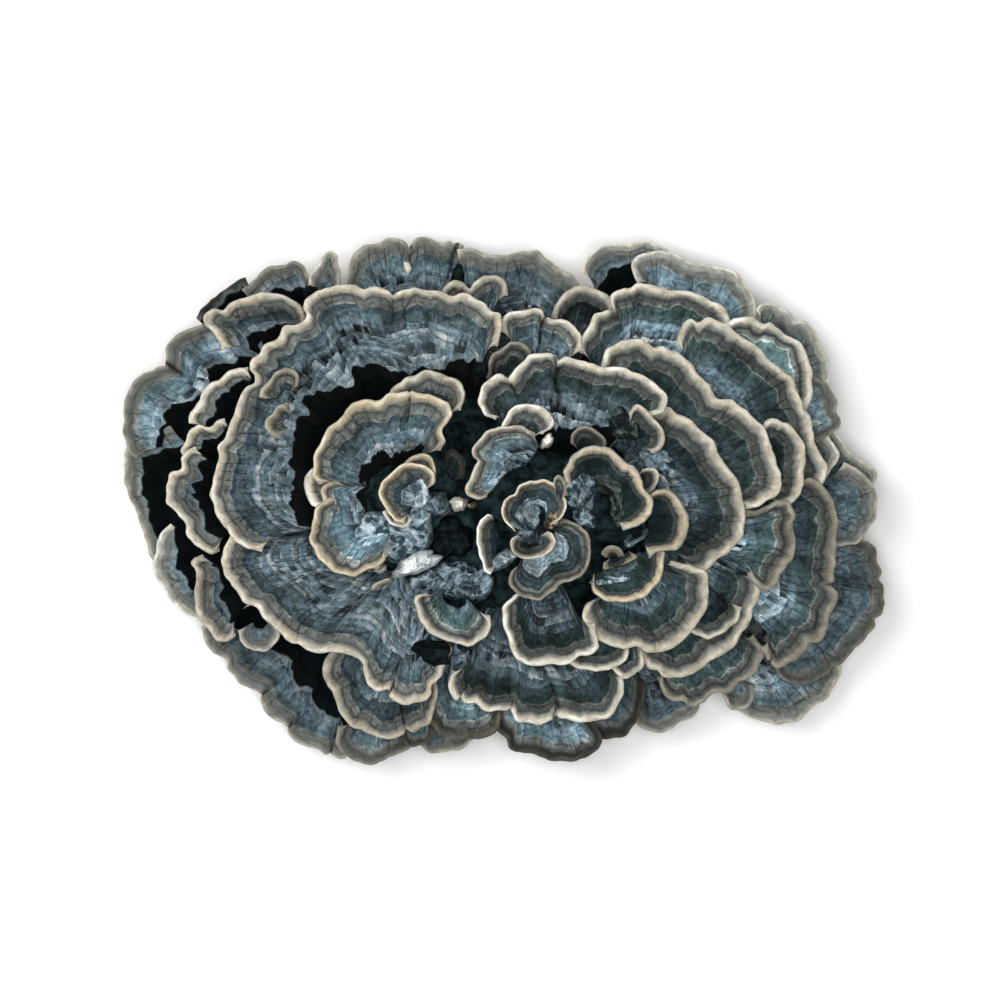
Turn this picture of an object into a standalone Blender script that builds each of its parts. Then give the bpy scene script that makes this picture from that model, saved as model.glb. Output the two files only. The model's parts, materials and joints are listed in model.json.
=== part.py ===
"""Turkey tail fungus: a rosette of thin brackets on one fused base, cut flat where it grew on wood.

The rosette lies on its cut face at z = 0 and opens upwards. Sizes below are in millimetres and
are turned to metres when a mesh is made. Every cap is a thin sheet between two rows of points
seen from above: its rim, and its root further in. The caps are laid from the lowest to the
highest, and each one rests on what is already there, so the rosette stacks as it grew.
"""
import bmesh
import bpy
import numpy as np

MM = 0.001

CAP_THICKNESS = 1.6         # a bracket's flesh, 1 to 3 mm on this species
LAY_GAP = 0.45              # air between a cap's root and what it rests on
RIM_STEP = 7.5              # length of rim for each facet
FACETS_ALONG_RIM = (5, 17)  # fewest and most
SHARES_IN = (0.0, 0.28, 0.62, 1.0)  # rows of points from the rim (0) to the root (1)
ROOT_WIDTH = 0.14           # width of a one-point root as a share of the rim

BASE_HALF_LENGTH = 54.0
BASE_HALF_WIDTH = 35.0
BASE_HEIGHT = 13.0
BASE_HUMPS = ((22, -4, 20, 16, 14), (-30, 2, 13, 11, 5))  # x, y, reach in x and y, height
BASE_LOBES = ((3, 0.05, 0.6), (5, 0.035, 2.1), (8, 0.02, 4.0))  # count, depth, turn
BASE_SEGMENTS = 28
BASE_RINGS = 14

MAP_HALF_X = 115
MAP_HALF_Y = 85

TAUPE = (0.16, 0.13, 0.105)
CHARCOAL = (0.035, 0.045, 0.045)
SLATE = (0.10, 0.13, 0.155)

height_map = np.zeros((2 * MAP_HALF_X, 2 * MAP_HALF_Y))


def clear_scene():
    """Remove what a new file holds."""
    for item in list(bpy.data.objects):
        bpy.data.objects.remove(item, do_unlink=True)


def tissue_material(name, colour, roughness):
    """Dry fungus flesh: a plain Principled surface."""
    material = bpy.data.materials.new(name)
    material.use_nodes = True
    shader = material.node_tree.nodes["Principled BSDF"]
    shader.inputs["Base Color"].default_value = (*colour, 1.0)
    shader.inputs["Roughness"].default_value = roughness
    shader.inputs["Metallic"].default_value = 0.0
    return material


def cell_samples(grid, steps):
    """Points spread over every cell of a grid, by straight lines between its four corners."""
    share = np.linspace(0.0, 1.0, steps)
    s = share[:, None, None]
    t = share[None, :, None]
    corner = grid[:, :, None, None, :]
    near = corner[:-1, :-1] * (1 - s) + corner[1:, :-1] * s
    far = corner[:-1, 1:] * (1 - s) + corner[1:, 1:] * s
    return near * (1 - t) + far * t


def map_cells(points):
    """Cell of the height map, one millimetre a side, under each point."""
    column = np.clip(points[..., 0] + MAP_HALF_X, 0, 2 * MAP_HALF_X - 1).astype(int)
    row = np.clip(points[..., 1] + MAP_HALF_Y, 0, 2 * MAP_HALF_Y - 1).astype(int)
    return column, row


def stamp(grid):
    """Raise the height map to the top of a grid of points."""
    samples = cell_samples(grid, 12)
    np.maximum.at(height_map, map_cells(samples), samples[..., 2])


def ground(points):
    """Height of what lies under each point or within a cell of it."""
    padded = np.pad(height_map, 1)
    columns, rows = height_map.shape
    shifts = [padded[i:i + columns, j:j + rows] for i in range(3) for j in range(3)]
    return np.max(shifts, axis=0)[map_cells(points)]


def smooth_row(points, count):
    """Count + 1 even steps along a smooth curve through the points."""
    points = np.array(points, float)
    along = np.r_[0.0, np.cumsum(np.linalg.norm(np.diff(points, axis=0), axis=1))]
    tangents = np.gradient(points, along, axis=0)
    fine = np.linspace(0.0, along[-1], 12 * len(points))
    piece = np.clip(np.searchsorted(along, fine, side="right") - 1, 0, len(points) - 2)
    span = (along[piece + 1] - along[piece])[:, None]
    t = (fine[:, None] - along[piece][:, None]) / span
    curve = ((2 * t**3 - 3 * t**2 + 1) * points[piece]
             + (t**3 - 2 * t**2 + t) * span * tangents[piece]
             + (3 * t**2 - 2 * t**3) * points[piece + 1]
             + (t**3 - t**2) * span * tangents[piece + 1])
    walked = np.r_[0.0, np.cumsum(np.linalg.norm(np.diff(curve, axis=0), axis=1))]
    even = np.linspace(0.0, walked[-1], count + 1)
    return np.column_stack([np.interp(even, walked, curve[:, k]) for k in (0, 1)])


def cap_plan(rim, root):
    """Grid of points between the rim row and the root row, seen from above."""
    steps = np.linalg.norm(np.diff(np.array(rim, float), axis=0), axis=1)
    fewest, most = FACETS_ALONG_RIM
    count = int(np.clip(round(steps.sum() / RIM_STEP), fewest, most))
    outer = smooth_row(rim, count)
    if len(root) == 1:
        centre = np.array(root[0], float)
        inner = centre + ROOT_WIDTH * (outer - centre)
    else:
        inner = smooth_row(root, count)
    share = np.array(SHARES_IN)[None, :, None]
    return outer[:, None, :] * (1 - share) + inner[:, None, :] * share


def lay_cap(plan, rim_height, lift, flare):
    """Heights of a cap: from its root on the ground, out to a rim that clears what is below it."""
    under = ground(plan)
    root_height = under[:, -1] + CAP_THICKNESS + LAY_GAP
    rim = np.maximum(rim_height, under[:, 0] + CAP_THICKNESS + LAY_GAP + lift)
    for _ in range(3):
        ends = np.r_[rim[0], rim, rim[-1]]
        rim = 0.25 * ends[:-2] + 0.5 * rim + 0.25 * ends[2:]
    rise = (1 - np.array(SHARES_IN))[None, :] ** flare
    top = root_height[:, None] + (rim - root_height)[:, None] * rise
    for _ in range(3):
        samples = cell_samples(np.dstack([plan, top]), 7)
        short = ground(samples) + CAP_THICKNESS + LAY_GAP - samples[..., 2]
        short = np.clip(short.max(axis=(2, 3)), 0.0, None)
        raised = np.zeros_like(top)
        rows, columns = short.shape
        for i in (0, 1):
            for j in (0, 1):
                window = raised[i:rows + i, j:columns + j]
                np.maximum(window, short, out=window)
        top = top + raised
    return top


def cap_mesh(name, grid):
    """A sheet through a grid of points, given its thickness straight down."""
    rows, columns = grid.shape[:2]
    body = bmesh.new()
    bmesh.ops.create_grid(body, x_segments=rows - 1, y_segments=columns - 1, size=1.0)
    for vertex in body.verts:
        i = round((vertex.co.x + 1) / 2 * (rows - 1))
        j = round((vertex.co.y + 1) / 2 * (columns - 1))
        vertex.co = grid[i, j] * MM
    top_faces = list(body.faces)
    walls = bmesh.ops.extrude_face_region(body, geom=top_faces, use_keep_orig=True)
    lower = [item for item in walls["geom"] if isinstance(item, bmesh.types.BMVert)]
    bmesh.ops.translate(body, verts=lower, vec=(0.0, 0.0, -CAP_THICKNESS * MM))
    bmesh.ops.recalc_face_normals(body, faces=body.faces)
    mesh = bpy.data.meshes.new(name)
    body.to_mesh(mesh)
    body.free()
    mesh.shade_smooth()
    return mesh


def cap(name, rim, root, colour=CHARCOAL, level=0.0, lift=1.5, flare=0.6):
    """One bracket, laid on the rosette as it stands so far."""
    plan = cap_plan(rim, root)
    top = lay_cap(plan, level, lift, flare)
    grid = np.dstack([plan, top])
    stamp(grid)
    mesh = cap_mesh(name, grid)
    mesh.materials.append(tissue_material(name + "_surface", colour, 0.8))
    part = bpy.data.objects.new(name, mesh)
    rosette.objects.link(part)


def mound(turn, rise):
    """Point of the base at an angle round it and an angle up from the edge of its cut face."""
    lobes = 1.0 + sum(depth * np.sin(count * turn + start) for count, depth, start in BASE_LOBES)
    x = BASE_HALF_LENGTH * lobes * np.cos(turn) * np.cos(rise)
    y = BASE_HALF_WIDTH * lobes * np.sin(turn) * np.cos(rise)
    humps = sum(height * np.exp(-((x - at_x) / reach_x) ** 2 - ((y - at_y) / reach_y) ** 2)
                for at_x, at_y, reach_x, reach_y, height in BASE_HUMPS)
    return x, y, (BASE_HEIGHT + humps) * np.maximum(np.sin(rise), 0.0)


def base():
    """Fused tissue under all caps: a low lobed mound with two humps, cut flat below."""
    body = bmesh.new()
    bmesh.ops.create_uvsphere(body, u_segments=BASE_SEGMENTS, v_segments=BASE_RINGS, radius=1.0)
    for vertex in body.verts:
        turn = np.arctan2(vertex.co.y, vertex.co.x)
        rise = np.arcsin(np.clip(vertex.co.z, -1.0, 1.0))
        vertex.co = [value * MM for value in mound(turn, rise)]
    mesh = bpy.data.meshes.new("fused_base")
    body.to_mesh(mesh)
    body.free()
    mesh.shade_smooth()
    mesh.materials.append(tissue_material("fused_base_tissue", SLATE, 0.9))
    part = bpy.data.objects.new("fused_base", mesh)
    rosette.objects.link(part)
    turn = np.linspace(0.0, 2 * np.pi, BASE_SEGMENTS + 1)
    rise = np.linspace(0.0, np.pi / 2, BASE_RINGS // 2 + 1)
    stamp(np.dstack(mound(*np.meshgrid(turn, rise))))


def outer_ring_left():
    """Lowest caps on the left, thin and pale, their rims out in the open."""
    cap("outer_cap_left_middle",
        rim=[(-95.6, 11.5), (-95, 3.5), (-92.5, -2.5), (-90.5, -7.5), (-89.5, -12.5), (-88, -15)],
        root=[(-49, 8), (-48, -4)], level=8, colour=TAUPE)
    cap("outer_cap_left_upper",
        rim=[(-76.8, 44.7), (-83, 41.8), (-85.2, 36.5), (-90, 33), (-94.7, 27), (-95.3, 20),
             (-94.3, 14), (-92.4, 11.3)],
        root=[(-44, 20), (-48, 11)], level=10, colour=TAUPE)
    cap("outer_cap_left_lower",
        rim=[(-84, -5), (-87, -10), (-88, -14.6), (-87.5, -18), (-84.7, -23.5), (-81, -27),
             (-76.8, -28.5)],
        root=[(-49, -6), (-45, -15)], level=10, colour=TAUPE)


def outer_ring_top():
    """Lowest caps along the top."""
    cap("outer_cap_top_left",
        rim=[(-66, 54), (-62.9, 56.5), (-59, 59.5), (-53, 60.8), (-49.3, 57.5), (-47, 55)],
        root=[(-34, 25)], level=11, colour=TAUPE)
    cap("outer_cap_top_wide",
        rim=[(-41, 58), (-38, 62.5), (-33.3, 65), (-28, 66.8), (-23.5, 65), (-20, 67),
             (-15.4, 65.8), (-12.2, 66.1), (-9.7, 65)],
        root=[(-24, 28), (-15, 30)], level=11, colour=TAUPE)
    cap("outer_cap_top_middle",
        rim=[(-11.5, 63.6), (-8, 64.3), (-1, 62.5), (5.7, 63.6), (11, 61.5), (15.3, 58),
             (19.6, 55.2)],
        root=[(-4, 30), (7, 30)], level=13, colour=TAUPE)
    cap("outer_cap_top_right_back",
        rim=[(19.6, 58), (21, 61.5), (26, 65), (32, 65), (36.8, 66.1), (41.8, 64)],
        root=[(17, 28), (24, 27)], level=10, colour=TAUPE)
    cap("outer_cap_top_right_front",
        rim=[(33.4, 55.2), (32.3, 58.5), (34.6, 62.4), (40.3, 63.3), (46.4, 61), (52.5, 59.7),
             (58.2, 58.2), (61.4, 54), (63.5, 49)],
        root=[(28, 26), (36, 23)], level=13, colour=TAUPE)


def outer_ring_right():
    """Lowest caps down the right side."""
    cap("outer_cap_right_upper",
        rim=[(63.7, 48.2), (66.4, 50.2), (70.7, 49), (73.5, 46.3), (77.5, 44), (80.7, 37.5),
             (82, 34), (81.4, 29.5)],
        root=[(40, 23), (47, 16)], level=12, colour=TAUPE)
    cap("outer_cap_right_tip",
        rim=[(82.8, 19), (85, 17), (88.2, 12.2), (92.8, 9.3), (94.3, 7), (93.5, 5)],
        root=[(50, 10)], level=10, colour=TAUPE)
    cap("outer_cap_right_pale",
        rim=[(76.8, 21), (80.7, 19.3), (83.2, 14.7), (84.6, 12.3), (82, 8), (80.5, 5.5)],
        root=[(50, 7)], level=13, colour=SLATE)
    cap("outer_cap_bottom_right",
        rim=[(59.3, -52), (64, -55), (69.3, -56), (75, -54.6), (80.3, -50.3), (84.3, -45),
             (85.3, -41.8)],
        root=[(40, -22), (45, -18)], level=8, colour=TAUPE)
    cap("outer_cap_right_lower",
        rim=[(68.2, -41.4), (70.7, -45), (77.5, -45), (82.8, -41), (87, -39), (92, -33.5),
             (95, -28), (96, -22), (94.6, -18), (94, -11.5), (90.3, -9.3)],
        root=[(46, -17), (51, -6)], level=10, colour=TAUPE)
    cap("outer_cap_right_middle",
        rim=[(85.3, 10), (90.3, 7.5), (93.4, 3.6), (93.7, -3), (92, -6.4), (88.5, -10.3),
             (83.5, -10.3)],
        root=[(51, 2)], level=13, colour=TAUPE)


def outer_ring_bottom():
    """Lowest caps along the bottom and at the lower left."""
    cap("outer_cap_bottom_near_right",
        rim=[(33.7, -56), (36, -57), (39.6, -57.8), (45, -55.3), (48.2, -52.5)],
        root=[(31, -27)], level=10, colour=TAUPE)
    cap("outer_cap_bottom_right_of_centre",
        rim=[(18.7, -57.5), (23.5, -59.4), (30, -59), (34.6, -52.5), (35.3, -50)],
        root=[(20, -29)], level=11, colour=TAUPE)
    cap("outer_cap_bottom_centre",
        rim=[(-1.5, -57.5), (2, -61.8), (7.5, -63.4), (12.5, -65.3), (19, -64.6), (24.3, -61),
             (23.2, -59)],
        root=[(7, -31)], level=12, colour=SLATE)
    cap("outer_cap_bottom_left",
        rim=[(-74.7, -35.7), (-70, -39.6), (-68, -44), (-61.8, -48.2), (-59.7, -52.8),
             (-55.4, -56.5), (-52, -60.2), (-46, -62.5), (-39.7, -64.3)],
        root=[(-44, -15), (-37, -22)], level=8, colour=SLATE)
    cap("outer_cap_bottom_left_of_centre",
        rim=[(-41.5, -58.4), (-41.5, -61.4), (-36.5, -65.3), (-30.8, -65.3), (-23.8, -61.8)],
        root=[(-24, -29)], level=10, colour=SLATE)


def second_ring_left():
    """Narrow shelves between the outer ring and the great left fan."""
    cap("shelf_top_left",
        rim=[(-51.6, 50), (-55.4, 52.2), (-59.7, 53), (-64, 51.5), (-68.6, 50.4), (-72.5, 48.6),
             (-75.2, 45), (-73.6, 43.3), (-70.7, 38.3)],
        root=[(-36, 22)], level=16, lift=3, colour=TAUPE)
    cap("shelf_left_upper",
        rim=[(-65.8, 33.4), (-69.7, 32.5), (-75, 28.3), (-77.2, 25), (-79, 21.5), (-78.8, 19.5)],
        root=[(-46, 14)], level=15, lift=3, colour=TAUPE)
    cap("shelf_left_small",
        rim=[(-69.7, 21), (-73.6, 19.3), (-78.3, 18), (-80.8, 13.3)],
        root=[(-48, 9)], level=16, lift=1, colour=TAUPE)
    cap("shelf_left_middle",
        rim=[(-79, 13), (-80.6, 8.3), (-84, 5), (-84.5, 0), (-82.2, -1.5), (-79.4, -6),
             (-77.5, -10), (-73, -13), (-71, -11.8)],
        root=[(-48, 3), (-47, -3)], level=18, lift=3, colour=TAUPE)
    cap("shelf_left_lower",
        rim=[(-77.2, -14), (-77, -17), (-77.5, -22.5), (-75.4, -30.3), (-71.8, -34.3),
             (-69, -34)],
        root=[(-46, -10), (-43, -14)], level=17, lift=3, colour=TAUPE)


def second_ring_top():
    """Caps behind the inner ones along the top."""
    cap("shelf_top_small",
        rim=[(-15, 53), (-12.2, 55.8), (-8.3, 54.3), (-3.6, 57.4), (0.3, 55.8)],
        root=[(-7, 28)], level=18, lift=1.5)
    cap("shelf_top_middle",
        rim=[(12.8, 48), (14.4, 51.5), (18.2, 54.1), (24, 53), (26.8, 51.3)],
        root=[(13, 26)], level=19, lift=1.5)
    cap("shelf_top_right",
        rim=[(19.6, 40.8), (21.7, 45.4), (25.3, 48.2), (26.8, 51.5), (31.4, 54), (39.6, 54),
             (47, 53), (52.5, 50.4), (56.5, 46.5), (56.6, 42.5)],
        root=[(22, 23), (32, 20)], level=20, lift=2)


def second_ring_bottom():
    """Caps behind the inner ones along the bottom."""
    cap("shelf_bottom_right",
        rim=[(41, -49.3), (46.8, -51), (53.2, -47.8), (59.3, -45.3), (65, -40), (65, -36),
             (61.8, -34.4)],
        root=[(36, -20)], level=15, lift=1.5)
    cap("shelf_bottom_left_of_centre",
        rim=[(-18.4, -55.3), (-14.3, -59), (-8, -59.4), (-1.8, -57.8), (-0.5, -54)],
        root=[(-7, -29)], level=15, lift=2, colour=TAUPE)
    cap("shelf_bottom_left",
        rim=[(-43.3, -37.6), (-45, -42), (-42.5, -48.2), (-40, -54.3), (-35.4, -57),
             (-29.7, -59.3), (-24.7, -57.5), (-20.8, -56.4), (-17.7, -52), (-16.5, -47.5)],
        root=[(-28, -21), (-19, -26)], level=16, lift=3, colour=TAUPE)
    cap("fan_bottom_centre",
        rim=[(-13.3, -45.3), (-11.5, -49.4), (-5, -51.6), (3, -53.5), (10, -55.3), (17.5, -54.8),
             (25.3, -54), (30, -48), (27.5, -45)],
        root=[(-4, -26), (13, -26)], level=19, lift=2)


def second_ring_right():
    """Broad shingled fans down the right side."""
    cap("shelf_right_upper",
        rim=[(56.8, 45.4), (60.5, 46.8), (65, 44.6), (71, 42.5), (76, 37.5), (77.6, 30.4),
             (76.4, 24)],
        root=[(39, 20), (45, 13)], level=17)
    cap("fan_right_upper",
        rim=[(44.4, 43.6), (46.8, 46.3), (50.7, 46), (56.6, 43.2), (62.8, 39.7), (67, 35),
             (73.2, 28.6), (76.8, 21.5), (79.6, 11.8), (81, 8.5), (80, 5)],
        root=[(34, 19), (46, 4)], level=21)
    cap("fan_right_lower",
        rim=[(75, 5.7), (78.2, 6), (82, 1.5), (83.7, -5), (83.2, -15), (82.8, -20.3),
             (83.5, -25), (81.4, -31), (77, -35), (74, -38.5), (69, -41.4), (65.7, -38)],
        root=[(46, -2), (44, -15)], level=18)
    cap("shelf_right_small",
        rim=[(65, 19.3), (70, 20.2), (74.3, 15.8), (75.3, 9), (74, 2.2), (71.2, 0.6)],
        root=[(44, 3)], level=24)
    cap("fan_lower_right",
        rim=[(35.3, -39.6), (38.5, -41.8), (44.3, -43.4), (50, -41), (56, -37), (60, -32.5),
             (62.5, -26.8), (64.3, -22), (63.9, -20)],
        root=[(29, -17), (38, -10)], level=20)
    cap("shelf_right_middle",
        rim=[(60.3, -1.8), (70.5, 0.6), (72.3, -3), (73, -10), (71.4, -15.3), (67.5, -21),
             (64.4, -21), (61, -17.5)],
        root=[(42, -7)], level=22)


def inner_right():
    """Closely shingled caps around the right of the crown."""
    cap("inner_fan_right",
        rim=[(24.6, 36), (30.3, 40.6), (36, 39.7), (42, 38.2), (47.3, 34), (53.2, 26.5),
             (60, 23.6), (66, 17), (69.2, 6), (65.3, 0.2), (60.3, -1.8)],
        root=[(26, 16), (40, 0)], level=27)
    cap("inner_cap_right",
        rim=[(37.5, 21.8), (41, 24), (46, 20.8), (51.4, 16), (55.3, 8.6), (59, 1.5),
             (59.6, -5.7), (56.8, -11.4), (51.4, -15.7), (50, -16.8)],
        root=[(30, 11), (35, -7)], level=31)
    cap("inner_cap_top",
        rim=[(0, 46.5), (4.6, 48.2), (11, 48), (14.6, 45.8), (19.3, 41.8)],
        root=[(7, 22)], level=24)
    cap("inner_cap_lower_right",
        rim=[(22, -25), (19.6, -28), (22.5, -33.2), (30, -36.4), (40.3, -37), (46, -32.8),
             (50.7, -26), (50.7, -20), (50, -16.8), (41.4, -14.3)],
        root=[(26, -18), (34, -12)], level=26)
    cap("inner_fan_bottom",
        rim=[(2, -24), (-0.4, -27), (1, -33.2), (6, -40.5), (16, -39.8), (22.8, -37.3),
             (21.8, -34)],
        root=[(8, -18), (14, -19)], level=25)


def left_fans():
    """The great fan that sweeps round the left side, and the one below it."""
    cap("fan_lower_left",
        rim=[(-68, -10), (-70.2, -15), (-68.2, -20), (-65, -25), (-60.4, -28.5), (-55.8, -32.5),
             (-50, -36.2), (-43, -37.5), (-36, -39.5), (-34.5, -44), (-30, -47.3),
             (-26.5, -50), (-20.4, -49.6), (-18.3, -46), (-15.4, -42.8)],
        root=[(-42, -7), (-35, -13), (-25, -18), (-15, -21)], level=22, lift=3, flare=0.45,
        colour=SLATE)
    cap("great_fan_left",
        rim=[(-0.8, 42.5), (-0.7, 46.8), (-8.6, 52.2), (-15, 52.7), (-24.3, 53.4), (-32, 54),
             (-40, 54.3), (-48.6, 51), (-54.7, 43.6), (-63, 35.6), (-66, 24.3), (-70.6, 12),
             (-72.5, 2), (-69.7, -5.3), (-65, -11)],
        root=[(-7, 25), (-21, 24), (-35, 17), (-41, 5), (-40, -5)], level=26, lift=4, flare=0.45,
        colour=SLATE)


def inner_left():
    """Small rosette round the dark hollow left of the crown."""
    cap("inner_cap_left_back",
        rim=[(-28, 28.6), (-23, 31.5), (-16, 32.5), (-9.7, 28.6), (-11.5, 20)],
        root=[(-20, 14)], level=25, lift=1)
    cap("inner_fan_left",
        rim=[(-14, 15.8), (-13, 21), (-15.8, 26), (-24, 27.9), (-30, 26), (-38, 24.3),
             (-43.6, 18.6), (-47.5, 9), (-46, 7)],
        root=[(-20, 12), (-33, 5)], level=29, lift=2, colour=SLATE)
    cap("inner_cap_left_lower",
        rim=[(-47.2, -3.5), (-48, -8), (-45, -15), (-37.2, -18.4), (-30.8, -15.3)],
        root=[(-35, -5)], level=26, lift=2, colour=SLATE)
    cap("curled_cap_left",
        rim=[(-17, 4.7), (-18.6, 9), (-24.3, 9.7), (-30, 5.2), (-30.2, 0), (-26, -4.4)],
        root=[(-23.5, 2.5)], level=28, lift=2)
    cap("inner_cap_bottom_left",
        rim=[(-20.4, -23.4), (-21.8, -26.8), (-18.6, -32), (-10, -35.5), (-5.4, -34.3),
             (-3.2, -31), (-4, -29)],
        root=[(-12, -22)], level=25, lift=2)


def centre():
    """Caps behind the crown, and the crown's own rolled and ruffled ones."""
    cap("inner_lobe_top",
        rim=[(-4, 34.3), (-3.3, 36.8), (0.7, 39.7), (4, 39.7), (6.8, 37.7)],
        root=[(2, 24)], level=28, lift=1)
    cap("inner_fan_top",
        rim=[(-4.3, 22.2), (-6.3, 26), (-2.5, 31.5), (3.2, 34), (11, 37.4), (17, 36),
             (25.3, 34), (33.5, 32.2), (39.6, 28.2), (41, 25), (37.8, 21.8)],
        root=[(4, 12), (24, 10)], level=33)
    cap("crown_cap_left",
        rim=[(5.7, 19.3), (-1.8, 18.4), (-8, 13), (-7.5, 8.3), (-9.5, 3.6), (-6, 0.8)],
        root=[(4, 8)], level=33)
    cap("crown_cap_lower_right",
        rim=[(39.3, -12.5), (39.3, -19), (35.7, -23.2), (29.6, -25), (22, -22.5)],
        root=[(29, -13)], level=32)
    cap("crown_cap_far_right",
        rim=[(37, 2.2), (40.7, 3.2), (45.7, -3), (45, -8.5), (40.3, -12.3), (36, -13.6)],
        root=[(33, -6)], level=35)
    cap("crown_cap_right",
        rim=[(15.3, 6.8), (14.3, 9), (19.6, 13.6), (26.4, 13.4), (32.8, 8.6), (36.4, 1),
             (35.3, -4.3), (29.6, -6.6)],
        root=[(24, -1)], level=39, lift=2)
    cap("crown_ruffle_lower",
        rim=[(16.8, -5), (20.3, -6.8), (21.4, -12.8), (19.6, -18.2), (13.2, -21.8), (7.8, -24),
             (2, -21), (1.4, -19)],
        root=[(10, -13)], level=34)
    cap("crown_ruffle_upper",
        rim=[(15, -2), (14.3, 3), (10, 5.8), (3.2, 3), (0.3, 0.8), (-0.4, -1.8), (2, -7.5)],
        root=[(8, -2)], level=39, lift=2)
    cap("crown_ruffle_inner",
        rim=[(3.2, -7.8), (1.4, -10.5), (3.2, -13.2), (9, -13.7), (12.8, -10), (12, -8.2)],
        root=[(7, -8.5)], level=42, lift=2)


clear_scene()
rosette = bpy.data.collections.new("turkey_tail_fungus")
bpy.context.scene.collection.children.link(rosette)
base()
outer_ring_left()
outer_ring_top()
outer_ring_right()
outer_ring_bottom()
second_ring_left()
second_ring_top()
second_ring_bottom()
second_ring_right()
inner_right()
left_fans()
inner_left()
centre()
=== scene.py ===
import json

import bpy
import numpy as np
from mathutils import Matrix

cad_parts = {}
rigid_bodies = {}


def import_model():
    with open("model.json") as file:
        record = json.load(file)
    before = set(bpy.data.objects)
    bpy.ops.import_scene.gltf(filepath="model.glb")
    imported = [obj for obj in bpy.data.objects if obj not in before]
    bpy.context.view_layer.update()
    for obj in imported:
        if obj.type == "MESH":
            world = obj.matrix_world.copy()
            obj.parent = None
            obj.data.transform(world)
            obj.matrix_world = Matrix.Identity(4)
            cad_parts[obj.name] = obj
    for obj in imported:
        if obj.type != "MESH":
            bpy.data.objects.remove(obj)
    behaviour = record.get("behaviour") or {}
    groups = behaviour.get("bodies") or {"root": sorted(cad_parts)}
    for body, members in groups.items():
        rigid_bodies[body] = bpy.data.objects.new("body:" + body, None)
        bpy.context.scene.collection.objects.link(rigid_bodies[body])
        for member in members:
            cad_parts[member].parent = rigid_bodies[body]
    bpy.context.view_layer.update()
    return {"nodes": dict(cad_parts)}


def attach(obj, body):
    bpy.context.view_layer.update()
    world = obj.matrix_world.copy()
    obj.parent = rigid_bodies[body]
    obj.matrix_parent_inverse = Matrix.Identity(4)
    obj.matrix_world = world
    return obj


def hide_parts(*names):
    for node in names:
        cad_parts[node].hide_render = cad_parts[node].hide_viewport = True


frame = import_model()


# Fused base: the tough fibrous tissue that all brackets grow from. It clung to the wood and is
# cut flat there. Its top shows only down in the hollows, and is painted near black there as
# the shade in them.

MM = 0.001
BASE_HALF_LENGTH = 54.0
BASE_HALF_WIDTH = 35.0
BASE_HEIGHT = 13.0
BASE_HUMPS = ((22, -4, 20, 16, 14), (-30, 2, 13, 11, 5))  # x, y, reach in x and y, height
BASE_LOBES = ((3, 0.05, 0.6), (5, 0.035, 2.1), (8, 0.02, 4.0))  # count, depth, turn
BASE_CREASE = 4.5   # size of the creases in it
MATT = 0.08         # specular level of flesh and felt, which hardly mirror
surfaces = {}       # height over places (x, y) of what a later piece may stand on, by name


def linear(hex_colour):
    """sRGB hex to linear light, with an alpha of one."""
    levels = np.array([int(hex_colour[k:k + 2], 16) for k in (1, 3, 5)]) / 255
    low, high = levels / 12.92, ((levels + 0.055) / 1.055) ** 2.4
    return (*np.where(levels <= 0.04045, low, high).tolist(), 1.0)


def per_metre(size_mm):
    """Scale in Object coordinates, which are metres, of a pattern of this size."""
    return 1 / (size_mm * MM)


def node(tree, kind, *values, output=0, **named):
    """Add a node with its settings and links, and return one of its outputs.

    A word after the kind is its operation. The values go to its sockets in order. A name in
    small letters is a setting, and one with a capital is a socket.
    """
    kind, *operation = kind.split()
    made = tree.nodes.new("ShaderNode" + kind)
    for word in operation:
        made.operation = word
    sockets = dict(enumerate(values))
    for key, value in named.items():
        if key.islower():
            setattr(made, key, value)
        else:
            sockets[key] = value
    for key, value in sockets.items():
        if isinstance(value, bpy.types.NodeSocket):
            tree.links.new(value, made.inputs[key])
        else:
            made.inputs[key].default_value = value
    return made.outputs[output]


def spread_colours(ramp, stops):
    """Give a colour ramp its stops, each a place from 0 to 1 and an sRGB hex colour."""
    marks = ramp.node.color_ramp.elements
    for at, colour in stops[1:-1]:
        marks.new(at)
    for mark, (at, colour) in zip(list(marks), stops):
        mark.position = at
        mark.color = linear(colour)


def new_material(name, roughness):
    """A matt Principled material with hardly any mirror light: itself, its tree and its shader."""
    material = bpy.data.materials.new(name)
    material.use_nodes = True
    shader = material.node_tree.nodes["Principled BSDF"]
    shader.inputs["Roughness"].default_value = roughness
    shader.inputs["Specular IOR Level"].default_value = MATT
    return material, material.node_tree, shader


def lattice_noise(x, y, seed):
    """Smooth noise from -1 to 1: random values on a unit lattice, eased between by 3t^2 - 2t^3."""
    values = np.random.default_rng(seed).uniform(-1, 1, (64, 64))
    i, j = np.floor(x).astype(int), np.floor(y).astype(int)
    u, v = x - i, y - j
    u, v = u * u * (3 - 2 * u), v * v * (3 - 2 * v)
    near = values[i % 64, j % 64] * (1 - u) + values[(i + 1) % 64, j % 64] * u
    far = values[i % 64, (j + 1) % 64] * (1 - u) + values[(i + 1) % 64, (j + 1) % 64] * u
    return near * (1 - v) + far * v


def creases(x, y, seed):
    """Crumpled relief from 0 to 1: sharp ridges where a bent noise crosses zero, at two sizes."""
    bend_x = x + 0.7 * lattice_noise(x / 1.7, y / 1.7, seed + 1)
    bend_y = y + 0.7 * lattice_noise(x / 1.7, y / 1.7, seed + 2)
    large = 1 - np.abs(lattice_noise(bend_x, bend_y, seed + 3))
    small = 1 - np.abs(lattice_noise(2.3 * bend_x, 2.3 * bend_y, seed + 4))
    return 0.65 * large ** 2 + 0.35 * small ** 2


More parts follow.
